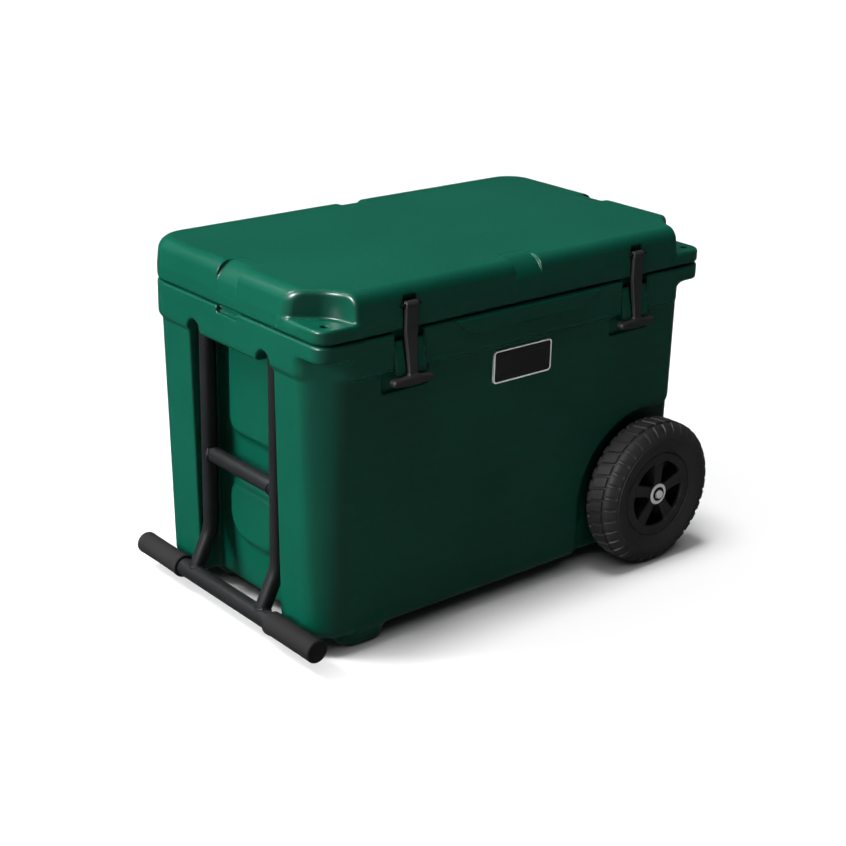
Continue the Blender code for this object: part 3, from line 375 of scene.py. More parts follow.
def knuckles(x, y, z, span_x, low_z, high_z):
    """Hinge knuckles at both hinges, with the webs that carry them."""
    aside = span(from_pair(x, HINGE_X), *span_x)
    barrel = np.hypot(y - HINGE_Y, z - HINGE_Z) - KNUCKLE_RADIUS
    web = np.maximum(span(y, HALF_WIDTH - 0.012, HINGE_Y + KNUCKLE_RADIUS), span(z, low_z, high_z))
    return both(np.minimum(barrel, web), aside, 0.0015)


def hinge_room(x, y, z, span_x):
    aside = span(from_pair(x, HINGE_X), *span_x)
    return np.maximum(aside, np.hypot(y - HINGE_Y, z - HINGE_Z) - KNUCKLE_RADIUS - 0.0015)


def lock_holes(x, y, radius):
    from_end = HALF_LENGTH - LOCK_HOLE_IN - np.abs(x - MID_X)
    return np.hypot(from_end, y + HALF_WIDTH - LOCK_HOLE_IN) - radius


def lock_scoops(x, y, z):
    """Below each lock tab the band is drawn back on a slant, so a shackle can pass."""
    from_end = HALF_LENGTH - np.abs(x - MID_X)
    slant = (from_end + y + HALF_WIDTH) * math.sqrt(0.5) - SCOOP_REACH
    return both(slant, z - TAB_BOTTOM, 0.008)


def finger_lip(x, y, z):
    """A shallow lip under the lid's front edge, with slanted ends."""
    low, high = LIP_Z
    half = LIP_HALF[0] + (LIP_HALF[1] - LIP_HALF[0]) * (z - low) / (high - low)
    plate = both(np.abs(x - MID_X) - half, -HALF_WIDTH - LIP_OUT - y, 0.0015)
    return np.maximum(both(plate, span(z, low, high), 0.001), y + HALF_WIDTH - 0.01)


def drain_cuts(x, y, z):
    radius = np.hypot(y, z - DRAIN_Z)
    flange = np.maximum(radius - DRAIN_FLANGE_RADIUS, DRAIN_FLANGE_X - 0.0033 - x)
    neck = np.maximum(radius - DRAIN_NECK_RADIUS, DRAIN_FLANGE_X - 0.0223 - x)
    tunnel = np.maximum(radius - DRAIN_TUNNEL_RADIUS, TUB_STEP - 0.02 - x)
    return np.minimum(np.minimum(flange, neck), tunnel)


def axle_cuts(x, y, z):
    radius = np.hypot(x - AXLE_X, z - AXLE_Z)
    sleeve_hole = np.maximum(radius - SLEEVE_HOLE_RADIUS, WELL_Y - 0.0223 - np.abs(y))
    return np.minimum(radius - AXLE_HOLE_RADIUS, sleeve_hole)


def badge_seat(x, y, z):
    middle = (MID_X, (BADGE_LOW.z + BADGE_HIGH.z) / 2)
    halves = ((BADGE_HIGH.x - BADGE_LOW.x) / 2 + 0.0006, (BADGE_HIGH.z - BADGE_LOW.z) / 2 + 0.0006)
    return np.maximum(rounded_plan(x, z, middle, halves, BADGE_SEAT_CORNER), y - BADGE_HIGH.y - 0.0003)


def body_field(x, y, z):
    rise = np.clip((z - BODY_BOTTOM) / (SKIRT_BOTTOM - BODY_BOTTOM), 0, 1)
    column = outline(x, y, SKIRT_STEP + TAPER * (1 - rise), FRONT_CORNER, BACK_CORNER, END_GAIN)
    shell = both(column, span(z, BODY_BOTTOM, RIM_TOP + 0.03), BOTTOM_ROUND)
    shell = np.maximum(shell, z - RIM_TOP + 0.01)
    band = outline(x, y, 0.0, FRONT_CORNER, BACK_CORNER)
    band = np.maximum(both(band, SKIRT_BOTTOM - z, BAND_ROUND), both(band, z - RIM_TOP, RIM_ROUND))
    shell = either(shell, band, 0.004)
    tabs = both(outline(x, y, 0.0, TAB_CORNER, BACK_CORNER), span(z, TAB_BOTTOM, RIM_TOP), 0.004)
    shell = np.minimum(shell, tabs)
    shell = either(shell, finger_lip(x, y, z), 0.001)
    shell = either(shell, moulded_feet(x, y, z), 0.006)
    shell = either(shell, knuckles(x, y, z, KNUCKLE_SPAN, TAB_BOTTOM + 0.004, HINGE_Z), 0.002)
    for cutter, edge in ((handle_recess, 0.003), (arm_notches, 0.003), (latch_pockets, 0.0025)):
        shell = cut(shell, cutter(x, y, z), edge)
    shell = np.minimum(shell, latch_keepers(x, y, z))
    near_end = np.clip((x - HIGH_X + 0.05) / 0.02, 0, 1)
    shell = cut(shell, wheel_well(x, y, z), WELL_ROUND + (WELL_END_ROUND - WELL_ROUND) * near_end)
    shell = cut(shell, tub(x, y, z), 0.005)
    shell = cut(shell, hinge_room(x, y, z, (-1, KNUCKLE_SPAN[0] + 0.0005)), 0.001)
    for cutter, edge in ((drain_cuts, 0.0012), (axle_cuts, 0.0008), (badge_seat, 0.001)):
        shell = cut(shell, cutter(x, y, z), edge)
    notch = both(RIM_TOP - NOTCH_DEPTH - z, x - LOW_X - 0.007, 0.002)
    shell = cut(shell, both(np.abs(y) - NOTCH_HALF_WIDTH, notch, 0.003), 0.0025)
    holes = np.maximum(lock_holes(x, y, LOCK_HOLE_RADIUS), TAB_BOTTOM - 0.03 - z)
    shell = cut(shell, lock_scoops(x, y, z), 0.006)
    shell = cut(shell, holes, 0.001)
    fill = np.maximum(np.hypot(x - FILL_HOLE[0], y) - FILL_HOLE[1], z - FILL_TOP)
    return np.maximum(shell, -fill)


def lock_tab_region(x, y):
    """The corner regions where the lid's top steps down to its flange, in plan."""
    from_end = HALF_LENGTH - np.abs(x - MID_X)
    from_front = y + HALF_WIDTH
    slanted = (0.62 * from_end + 0.785 * from_front) - TAB_SLANT
    return both(from_end - TAB_ACROSS, slanted, 0.022)


def strap_grooves(x, y, edge):
    """Shallow grooves over the middle of each edge of the lid, for tie-down straps.

    edge is the lid's crown with the fuller rounding that the groove's floor follows.
    """
    along_x = np.maximum(np.abs(x - MID_X) - GROOVE_HALF, HALF_WIDTH - GROOVE_REACH - np.abs(y))
    along_y = np.maximum(np.abs(y) - GROOVE_HALF, HALF_LENGTH - GROOVE_REACH - np.abs(x - MID_X))
    return both(np.minimum(along_x, along_y), -edge, 0.001)


def lid_field(x, y, z):
    draft = LID_DRAFT * np.clip((z - FLANGE_TOP) / (LID_TOP - FLANGE_TOP), 0, 1)
    crown_plan = outline(x, y, draft, FRONT_CORNER, BACK_CORNER)
    crown = both(crown_plan, z - LID_TOP, LID_ROUND)
    crown = np.maximum(crown, LID_BOTTOM + 0.004 - z)
    step = np.maximum(lock_tab_region(x, y), FLANGE_TOP - 0.003 - z)
    crown = cut(crown, strap_grooves(x, y, both(crown_plan, z - LID_TOP, GROOVE_ROUND)), 0.0015)
    crown = cut(crown, step, 0.0075)
    flange = both(outline(x, y, 0.0, TAB_CORNER, BACK_CORNER), span(z, LID_BOTTOM, FLANGE_TOP), 0.0045)
    shell = np.where(lock_tab_region(x, y) < 0.012, either(crown, flange, 0.004), np.minimum(crown, flange))
    plug_halves = (TUB_HALF_LENGTH - PLUG_GAP, TUB_HALF - PLUG_GAP)
    plug = rounded_plan(x, y, TUB_MIDDLE, plug_halves, TUB_CORNER) + 0.4 * np.maximum(LID_BOTTOM - z, 0)
    shell = np.minimum(shell, both(plug, span(z, LID_BOTTOM - PLUG_DEPTH, LID_BOTTOM + 0.012), 0.004))
    shell = either(shell, knuckles(x, y, z, (-1, 0.015), HINGE_Z, FLANGE_TOP), 0.002)
    ring = span(tub_edge(x, y), *GASKET_BAND)
    shell = np.maximum(shell, -np.maximum(ring - 0.0003, z - LID_BOTTOM - 0.0043))
    shell = cut(shell, hinge_room(x, y, z, (0.0145, 0.046)), 0.001)
    slots = both(from_pair(x, LATCH_X) - STRAP_WIDE - 0.0015, y + HALF_WIDTH - 0.010, 0.003)
    slots = both(slots, z - LATCH_PIN[1] - 0.012, 0.004)
    shell = cut(shell, slots, 0.0025)
    shell = cut(shell, lock_holes(x, y, LOCK_HOLE_RADIUS), 0.0015)
    fill = np.maximum(np.hypot(x - MID_X, y) - FILL_HOLE[1], z - LID_BOTTOM + LID_FILL_DEPTH)
    return np.maximum(shell, -fill)


def latch_field(centre):
    """The field of one latch: an eye round the pin, a strap that narrows, and a T-bar."""

    def field(x, y, z):
        aside = np.abs(x - centre)
        eye = np.hypot(y - LATCH_PIN[0], z - LATCH_PIN[1])
        eye_solid = both(eye - EYE_RADIUS, aside - STRAP_WIDE, 0.001)
        narrowing = np.clip((RIM_TOP - z) / (RIM_TOP - STRAP_NARROW_Z), 0, 1)
        half = STRAP_WIDE + (STRAP_NARROW - STRAP_WIDE) * narrowing
        lean = LATCH_LEAN * np.clip((RIM_TOP - z) / (RIM_TOP - LATCH_BAR_Z), 0, 1)
        thickness = np.abs(y - STRAP_FRONT + lean - STRAP_THICK / 2) - STRAP_THICK / 2
        strap = both(both(aside - half, thickness, 0.0015), span(z, LATCH_BAR_Z, LATCH_PIN[1]), 0.001)
        bar_y = STRAP_FRONT - LATCH_LEAN + 0.005
        height = BAR_HALF_HEIGHT - 0.10 * np.maximum(aside - 0.006, 0)
        bar = both(np.abs(y - bar_y) - BAR_HALF_DEPTH, np.abs(z - LATCH_BAR_Z) - height, 0.0035)
        bar = both(bar, aside - LATCH_BAR_HALF, 0.004)
        rubber = either(either(strap, eye_solid, 0.001), bar, 0.003)
        return np.maximum(rubber, EYE_HOLE_RADIUS - eye)

    return field


def gasket_field(x, y, z):
    """The lid's seal: a soft band with a rounded underside, pressed on the rim."""
    ring = tub_edge(x, y)
    band = both(span(ring, *GASKET_BAND), span(z, RIM_TOP + 0.0003, LID_BOTTOM + 0.0040), 0.0022)
    valley = np.hypot(ring - sum(GASKET_BAND) / 2, z - RIM_TOP + 0.0003) - 0.0012
    return cut(band, valley, 0.0005)


def wheel_centre_field(side):
    """The moulded wheel centre: a ring flush with its face, five ribs, and a dark dish behind."""

    def field(x, y, z):
        out = side * y
        radius = np.hypot(x - AXLE_X, z - AXLE_Z)
        angle = np.arctan2(z - AXLE_Z, x - AXLE_X) - math.pi / 2
        pitch = 2 * math.pi / SPOKES
        angle = np.mod(angle + pitch / 2, pitch) - pitch / 2
        along = radius * np.cos(angle)
        aside = np.abs(radius * np.sin(angle))
        back = TYRE_INNER + 0.005
        barrel = np.maximum(span(radius, RIM_BORE, RIM_RADIUS), span(out, back, RIM_FACE + 0.0015))
        ring_depth = span(out, RIM_FACE - 0.006, RIM_FACE + 0.002)
        ring = both(span(radius, RIM_OPENING, RIM_RADIUS), ring_depth, 0.002)
        hub = both(radius - HUB_RADIUS, span(out, back, RIM_FACE), 0.002)
        web = np.maximum(radius - WEB_RADIUS, span(out, back, RIM_WEB))
        half = RIB_HALF + 0.0030 * np.clip((along - 0.015) / 0.035, 0, 1)
        rib = both(aside - half, span(out, RIM_WEB - 0.002, RIM_FACE - 0.0005), 0.002)
        rib = np.maximum(rib, span(along, *RIB_REACH))
        wheel = either(np.minimum(barrel, ring), web, 0.003)
        wheel = either(either(wheel, rib, 0.003), hub, 0.003)
        return np.maximum(wheel, AXLE_BORE - radius)

    return field


# -------- meshing
def gradient(field, points, reach=0.0002):
    """The field's slope at each point."""
    slope = np.empty_like(points)
    for axis in range(3):
        step = np.zeros(3)
        step[axis] = reach
        slope[:, axis] = (field(*(points + step).T) - field(*(points - step).T)) / (2 * reach)
    return slope


def settle(field, points, most, rounds):
    """Moves points onto the field's surface, each by no more than the given distance a round."""
    for _ in range(rounds):
        slope = gradient(field, points)
        move = -field(*points.T)[:, None] * slope / np.maximum((slope**2).sum(1), 0.05)[:, None]
        length = np.linalg.norm(move, axis=1)[:, None]
        points = points + move * np.minimum(1, most / np.maximum(length, 1e-9))
    return points


def surface_net(field, low, high, step):
    """Points and four-sided faces along a field's zero surface, one point for each grid cell it crosses."""
    x, y, z = (np.arange(a - 1.37 * step, b + 2 * step, step, dtype=np.float32) for a, b in zip(low, high))
    inside = field(x[:, None, None], y[None, :, None], z[None, None, :]) < 0
    count = np.zeros([n - 1 for n in inside.shape], np.uint8)
    for i, j, k in np.ndindex(2, 2, 2):
        count += inside[i : i + count.shape[0], j : j + count.shape[1], k : k + count.shape[2]]
    crossed = (count > 0) & (count < 8)
    number = np.full(crossed.shape, -1, np.int32)
    number[crossed] = np.arange(crossed.sum())
    cells = np.nonzero(crossed)
    points = np.stack([axis[cell] + step / 2 for axis, cell in zip((x, y, z), cells)], axis=1)
    faces = []
    for axis in range(3):
        order = (axis, (axis + 1) % 3, (axis + 2) % 3)
        turned_inside = np.transpose(inside, order)
        turned_number = np.transpose(number, order)
        change = turned_inside[:-1, 1:-1, 1:-1] != turned_inside[1:, 1:-1, 1:-1]
        i, j, k = np.nonzero(change)
        around = ((0, 0), (1, 0), (1, 1), (0, 1))
        face = np.stack([turned_number[i, j + dj, k + dk] for dj, dk in around], axis=1)
        backwards = ~turned_inside[i, j + 1, k + 1]
        face[backwards] = face[backwards][:, ::-1]
        faces.append(face)
    return points.astype(float), np.concatenate(faces)


def mesh_of(points, faces):
    """A mesh of points and faces that all have the same number of corners."""
    mesh = bpy.data.meshes.new("mesh")
    mesh.vertices.add(len(points))
    mesh.vertices.foreach_set("co", np.asarray(points, np.float32).ravel())
    mesh.loops.add(faces.size)
    mesh.loops.foreach_set("vertex_index", np.asarray(faces, np.int32).ravel())
    mesh.polygons.add(len(faces))
    mesh.polygons.foreach_set("loop_start", np.arange(0, faces.size, faces.shape[1], dtype=np.int32))
    mesh.update(calc_edges=True)
    mesh.validate()
    mesh.shade_smooth()
    return mesh


def new_object(name, data):
    """An object that holds the data, in the scene."""
    obj = bpy.data.objects.new(name, data)
    bpy.context.scene.collection.objects.link(obj)
    return obj


def add_piece(name, mesh, material, body, slot, *nodes):
    """Puts a mesh in the scene as a piece that rides on a body and stands for CAD nodes."""
    mesh.name = name
    obj = new_object(name, mesh)
    if not mesh.materials:
        mesh.materials.append(material)
    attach(obj, body)
    if nodes:
        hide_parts(*nodes)
    return obj


def thinned(mesh, share):
    """A copy of the mesh with that share of its faces, kept where the surface bends."""
    obj = new_object("thinning", mesh)
    modifier = obj.modifiers.new("thin", "DECIMATE")
    modifier.ratio = share
    graph = bpy.context.evaluated_depsgraph_get()
    fewer = bpy.data.meshes.new_from_object(obj.evaluated_get(graph))
    bpy.data.objects.remove(obj)
    return fewer


def moulding(field, low, high, step, most_faces):
    """A field's surface as a mesh, its shading normals taken from the field."""
    points, faces = surface_net(field, low, high, step)
    points = settle(field, points, step, 3)
    mesh = mesh_of(points, faces)
    triangles = 2 * len(faces)
    if triangles > most_faces:
        mesh = thinned(mesh, most_faces / triangles)
    points = np.empty(3 * len(mesh.vertices))
    mesh.vertices.foreach_get("co", points)
    points = settle(field, points.reshape(-1, 3), step / 4, 1)
    mesh.vertices.foreach_set("co", points.astype(np.float32).ravel())
    slope = gradient(field, points)
    length = np.linalg.norm(slope, axis=1)[:, None]
    mesh.shade_smooth()
    mesh.normals_split_custom_set_from_vertices(slope / np.maximum(length, 1e-9))
    return mesh


def grid_faces(rows, columns, closed_rows=False):
    """Faces between neighbouring rows of points, each row a closed ring."""
    last = rows if closed_rows else rows - 1
    i, j = np.meshgrid(np.arange(last), np.arange(columns), indexing="ij")
    after_i = (i + 1) % rows
    after_j = (j + 1) % columns
    corners = [i * columns + j, i * columns + after_j, after_i * columns + after_j, after_i * columns + j]
    return np.stack([c.ravel() for c in corners], axis=1)


def turned(profile, centre, axis, steps=64, radii=None, sharp=40):
    """A profile of (radius, along) points turned round an axis along X or Y through the centre.

    radii, if given, changes the radii: it takes (radius, along, angle) arrays.
    """
    profile = np.array(profile)
    angle = np.arange(steps) * 2 * math.pi / steps
    radius = np.repeat(profile[:, :1], steps, axis=1)
    along = np.repeat(profile[:, 1:], steps, axis=1)
    if radii:
        radius = radii(radius, along, angle[None, :])
    axis = Vector(axis)
    side = Vector((0, 0, 1))
    other = axis.cross(side)
    points = (
        np.array(centre)
        + along[..., None] * np.array(axis)
        + (radius * np.cos(angle))[..., None] * np.array(side)
        + (radius * np.sin(angle))[..., None] * np.array(other)
    )
    mesh = mesh_of(points.reshape(-1, 3), grid_faces(len(profile), steps)[:, ::-1])
    mesh.set_sharp_from_angle(angle=math.radians(sharp))
    return mesh


def sweep(path, radii, sides=28, closed=False):
    """A round bar along a path of points, with its own radius at each."""
    path = np.asarray(path, float)
    radii = np.broadcast_to(radii, len(path))
    if closed:
        along = np.roll(path, -1, axis=0) - np.roll(path, 1, axis=0)
    else:
        along = np.gradient(path, axis=0)
    along /= np.linalg.norm(along, axis=1)[:, None]
    side = np.cross(along, (0.31, 0.87, 0.38))
    for index in range(1, len(path)):
        side[index] = side[index - 1] - along[index] * (side[index - 1] @ along[index])
    side /= np.linalg.norm(side, axis=1)[:, None]
    other = np.cross(along, side)
    angle = np.arange(sides) * 2 * math.pi / sides
    rim = np.cos(angle)[None, :, None] * side[:, None] + np.sin(angle)[None, :, None] * other[:, None]
    points = path[:, None] + radii[:, None, None] * rim
    return mesh_of(points.reshape(-1, 3), grid_faces(len(path), sides, closed))


def rounded_bar(path, radius, end_round):
    """A bar along a path whose two ends close in a rounded edge."""
    path = np.asarray(path, float)
    turn = np.linspace(math.pi / 2, 0, 7)
    inset = np.append(0.0, 0.00002 + end_round * (1 - np.sin(turn)))
    radii = np.append(0.0002, radius - end_round * (1 - np.cos(turn)))
    caps = []
    for end, inner in ((path[0], path[1]), (path[-1], path[-2])):
        inwards = (inner - end) / np.linalg.norm(inner - end)
        caps.append(end + np.outer(inset, inwards))
    points = np.concatenate([caps[0], path[1:-1], caps[1][::-1]])
    all_radii = np.concatenate([radii, np.full(len(path) - 2, radius), radii[::-1]])
    return sweep(points, all_radii)


# -------- materials
def shader_material(name, roughness, metallic=0.0, **values):
    """A Principled material; other values go to the sockets of the same names."""
    material = bpy.data.materials.new(name)
    material.use_nodes = True
    shader = material.node_tree.nodes["Principled BSDF"]
    shader.inputs["Roughness"].default_value = roughness
    shader.inputs["Metallic"].default_value = metallic
    for key, value in values.items():
        shader.inputs[key.replace("_", " ")].default_value = value
    return material, material.node_tree, shader


def noise_node(tree, scale, detail=3.0, stretch=(1, 1, 1)):
    """Noise over the object's own space, in cells per metre."""
    place = tree.nodes.new("ShaderNodeTexCoord")
    mapping = tree.nodes.new("ShaderNodeMapping")
    mapping.inputs["Scale"].default_value = stretch
    noise = tree.nodes.new("ShaderNodeTexNoise")
    noise.inputs["Scale"].default_value = scale
    noise.inputs["Detail"].default_value = detail
    tree.links.new(place.outputs["Object"], mapping.inputs["Vector"])
    tree.links.new(mapping.outputs["Vector"], noise.inputs["Vector"])
    return noise


def colour_ramp(tree, source, stops):
    """Colours between two (position, colour) stops."""
    ramp = tree.nodes.new("ShaderNodeValToRGB")
    for element, (position, colour) in zip(ramp.color_ramp.elements, stops):
        element.position = position
        element.color = (*colour, 1)
    tree.links.new(source, ramp.inputs["Fac"])
    return ramp


def map_range(tree, source, low, high):
    """The middle of a noise's range, stretched from low to high."""
    node = tree.nodes.new("ShaderNodeMapRange")
    node.inputs["From Min"].default_value = 0.3
    node.inputs["From Max"].default_value = 0.7
    node.inputs["To Min"].default_value = low
    node.inputs["To Max"].default_value = high
    tree.links.new(source, node.inputs["Value"])
    return node


def bump_chain(tree, shader, bumps):
    """Bump nodes in a row, from (height, strength, distance) triples."""
    previous = None
    for height, strength, distance in bumps:
        bump = tree.nodes.new("ShaderNodeBump")
        bump.inputs["Strength"].default_value = strength
        bump.inputs["Distance"].default_value = distance
        tree.links.new(height, bump.inputs["Height"])
        if previous:
            tree.links.new(previous, bump.inputs["Normal"])
        previous = bump.outputs["Normal"]
    tree.links.new(previous, shader.inputs["Normal"])


def grained(name, dark, light, grain, rough, bump, metallic=0.0, stretch=(1, 1, 1), cloud=9.0, **values):
    """A moulded or coated finish: slow colour drift, fine grain, and uneven gloss.

    grain is in cells per metre, rough is (lowest, highest), bump is (strength, depth in metres).
    """
    material, tree, shader = shader_material(name, rough[0], metallic, **values)
    drift = noise_node(tree, cloud, 4.0)
    fine = noise_node(tree, grain, 5.0, stretch)
    mix = tree.nodes.new("ShaderNodeMix")
    mix.data_type = "FLOAT"
    mix.inputs["Factor"].default_value = 0.35
    tree.links.new(drift.outputs["Fac"], mix.inputs["A"])
    tree.links.new(fine.outputs["Fac"], mix.inputs["B"])
    ramp = colour_ramp(tree, mix.outputs["Result"], [(0.30, dark), (0.70, light)])
    tree.links.new(ramp.outputs["Color"], shader.inputs["Base Color"])
    gloss = map_range(tree, mix.outputs["Result"], rough[0], rough[1])
    tree.links.new(gloss.outputs["Result"], shader.inputs["Roughness"])
    bump_chain(tree, shader, [(fine.outputs["Fac"], bump[0], bump[1])])
    return material


def green_polyethylene():
    """Rotomoulded polyethylene: a deep green skin with an orange-peel surface and a satin gloss."""
    material, tree, shader = shader_material("green_polyethylene", 0.30, Specular_IOR_Level=0.28)
    drift = noise_node(tree, 6.0, 4.0)
    peel = noise_node(tree, 320.0, 2.0)
    speck = noise_node(tree, 1900.0, 3.0)
    ramp = colour_ramp(
        tree, drift.outputs["Fac"], [(0.30, (0.0003, 0.0300, 0.0180)), (0.70, (0.0008, 0.0355, 0.0214))]
    )
    tree.links.new(ramp.outputs["Color"], shader.inputs["Base Color"])
    gloss = map_range(tree, speck.outputs["Fac"], 0.26, 0.34)
    tree.links.new(gloss.outputs["Result"], shader.inputs["Roughness"])
    bump_chain(tree, shader, [(peel.outputs["Fac"], 0.10, 0.0006), (speck.outputs["Fac"], 0.10, 0.0001)])
    return material


GREEN = green_polyethylene()
RUBBER = grained(
    "latch_rubber", (0.010, 0.010, 0.011), (0.016, 0.016, 0.017), 1500, (0.50, 0.62), (0.25, 0.00012)
)
TYRE = grained(
    "tyre_rubber", (0.011, 0.0105, 0.0105), (0.019, 0.018, 0.018), 900, (0.58, 0.72), (0.30, 0.0002)
)
GRIP = grained(
    "grip_rubber", (0.006, 0.006, 0.006), (0.010, 0.010, 0.010), 1300, (0.62, 0.78), (0.35, 0.0002),
    Specular_IOR_Level=0.08,
)
PAINT = grained(
    "black_powder_coat", (0.0045, 0.0048, 0.0052), (0.0070, 0.0074, 0.0080), 1100, (0.34, 0.44),
    (0.20, 0.0001), Specular_IOR_Level=0.2,
)
PLASTIC = grained(
    "black_nylon", (0.012, 0.012, 0.013), (0.020, 0.020, 0.021), 1000, (0.42, 0.54), (0.20, 0.0001)
)
STEEL = grained(
    "zinc_steel", (0.60, 0.60, 0.61), (0.78, 0.78, 0.79), 600, (0.24, 0.40), (0.15, 0.00006),
    0.35, (1, 12, 12),
)
SILVER = grained(
    "badge_border", (0.62, 0.64, 0.63), (0.74, 0.76, 0.75), 900, (0.34, 0.44), (0.1, 0.00005), 0.1
)
BADGE_BLACK = grained(
    "badge_field", (0.008, 0.008, 0.009), (0.012, 0.012, 0.013), 700, (0.30, 0.38), (0.12, 0.00005)
)
FOAM = grained("cream_foam", (0.60, 0.52, 0.34), (0.78, 0.72, 0.54), 500, (0.85, 0.95), (0.6, 0.0006))

SLOT_MATERIALS = {
    "black_steel": PAINT,
    "black_plastic": PLASTIC,
    "black_rubber": RUBBER,
    "steel": STEEL,
    "foam": FOAM,
    "green_shell": GREEN,
}
CAD_NODE_SLOTS = {
    "foam": ("body_foam", "lid_foam"),
    "black_plastic": (
        "body_fill_plug", "lid_fill_plug", "drain_fitting", "axle_sleeve_front", "axle_sleeve_back",
        "pivot_bushing_front", "pivot_bushing_back", "wheel_bushing_front", "wheel_bushing_back",
    ),
    "black_rubber": ("foot_pad_front", "foot_pad_back", "drain_gasket"),
    "steel": (
        "axle", "spacer_washer_front", "spacer_washer_back", "hinge_pin_left", "hinge_pin_right",
        "pivot_pin_front", "pivot_pin_back",
    ),
    "black_steel": ("latch_pin_left", "latch_pin_right"),
}


def finish_cad_nodes():
    for slot, names in CAD_NODE_SLOTS.items():
        for name in names:
            node = frame["nodes"][name]
            node.data.materials.clear()
            node.data.materials.append(SLOT_MATERIALS[slot])


# -------- body, lid and latches
def shells():
    body_step = 0.0026
    lid_step = 0.0021
    body = moulding(body_field, SHELL_LOW, SHELL_HIGH, body_step, 185_000)
    add_piece("moulded_body", body, GREEN, "cooler_body", "green_shell", "body_shell")
    lid = moulding(lid_field, LID_LOW, LID_HIGH, lid_step, 180_000)
    add_piece("moulded_lid", lid, GREEN, "lid", "green_shell", "lid_shell")
    low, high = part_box("lid_gasket")
    gasket = moulding(gasket_field, low, high, 0.0012, 90_000)
    add_piece("lid_seal", gasket, RUBBER, "lid", "black_rubber", "lid_gasket")


def latches():
    for name, sign in (("left", -1), ("right", 1)):
        node = "latch_strap_" + name
        low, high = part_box(node)
        field = latch_field(MID_X + sign * LATCH_X)
        mesh = moulding(field, low, high, 0.0011, 60_000)
        add_piece("rubber_latch_" + name, mesh, RUBBER, "latch_" + name, "black_rubber", node)


# -------- badge
def rounded_outline(middle, halves, corner, y, steps=8):
    """Points round a rounded rectangle that stands in the XZ plane at y."""
    points = []
    for quarter, (sx, sz) in enumerate(((1, 1), (-1, 1), (-1, -1), (1, -1))):
        for step in range(steps + 1):
            angle = math.radians(90 * (quarter + step / steps))
            x = middle[0] + sx * (halves[0] - corner) + corner * math.cos(angle)
            z = middle[1] + sz * (halves[1] - corner) + corner * math.sin(angle)
            points.append((x, y, z))
    return points


def badge():
    """A plain plate: a raised silver border round a black field with a fine frame line."""
    middle = ((BADGE_LOW.x + BADGE_HIGH.x) / 2, (BADGE_LOW.z + BADGE_HIGH.z) / 2)
    full = ((BADGE_HIGH.x - BADGE_LOW.x) / 2, (BADGE_HIGH.z - BADGE_LOW.z) / 2)
    front = BADGE_LOW.y
    back = BADGE_HIGH.y
    loops = (
        (0.0000, back),
        (0.0000, front + 0.0005),
        (0.0005, front),
        (0.0017, front),
        (0.0021, front + 0.0005),
        (0.0100, front + 0.0005),
        (0.0106, front + 0.0009),
    )
    rings = []
    for inset, y in loops:
        halves = (full[0] - inset, full[1] - inset)
        rings.append(rounded_outline(middle, halves, max(BADGE_CORNER - inset, 0.002), y))
    count = len(rings[0])
    points = [point for ring in rings for point in ring]
    faces = grid_faces(len(rings), count)[:, [0, 3, 2, 1]].tolist()
    finishes = [0 if index < BADGE_BORDER_LOOPS * count else 1 for index in range(len(faces))]
    faces.append(list(reversed(range(len(points) - count, len(points)))))
    faces.append(list(range(count)))
    finishes += [1, 1]
    mesh = bpy.data.meshes.new("mesh")
    mesh.from_pydata(points, [], faces)
    mesh.materials.append(SILVER)
    mesh.materials.append(BADGE_BLACK)
    mesh.polygons.foreach_set("material_index", finishes)
    mesh.shade_smooth()
    mesh.set_sharp_from_angle(angle=math.radians(30))
    add_piece("badge", mesh, SILVER, "cooler_body", "black_plastic", "badge_plate")


# -------- handle
def arm_path(y):
    """Down from the pivot, round a smooth bend, then out to the crossbar."""
    down = np.array((0.0, 0.0, -1.0))
    corner = np.array((ARM_X, y, ARM_BEND_Z))
    end = np.array((CROSSBAR_X, y, CROSSBAR_Z))
    out = (end - corner) / np.linalg.norm(end - corner)
    half_turn = math.acos(float(down @ out)) / 2
    reach = ARM_BEND_RADIUS * math.tan(half_turn)
    start = corner - reach * down
    finish = corner + reach * out
    points = [(ARM_X, y, ARM_TOP), (ARM_X, y, ARM_TOP - 0.05), (ARM_X, y, MID_BAR_Z)]
    for share in np.linspace(0, 1, 13):
        points.append((1 - share) ** 2 * start + 2 * share * (1 - share) * corner + share**2 * finish)
    points.append((finish + end) / 2)
    points.append(end)
    return np.array(points, float)


def saddle(middle, along, across, radius, other_radius, count=72):
    """The ring where a bar along one axis meets a rounder bar across it; along points back up the bar."""
    middle, along, across = (np.array(v, float) for v in (middle, along, across))
    third = np.cross(along, across)
    angle = np.arange(count) * 2 * math.pi / count
    height = np.sqrt(np.maximum(other_radius**2 - (radius * np.sin(angle)) ** 2, 0))
    aside = np.outer(radius * np.cos(angle), across) + np.outer(radius * np.sin(angle), third)
    return middle + aside + np.outer(height, along)


def weld(name, ring, seed):
    """A rippled bead along a ring."""
    angle = np.arange(len(ring)) * 2 * math.pi / len(ring)
    ripple = WELD_RADIUS + 0.00022 * np.sin(17 * angle + seed) + 0.0001 * np.sin(5 * angle + 2 * seed)
    mesh = sweep(ring, ripple, 12, closed=True)
    add_piece(name, mesh, PAINT, "tow_handle", "black_paint")


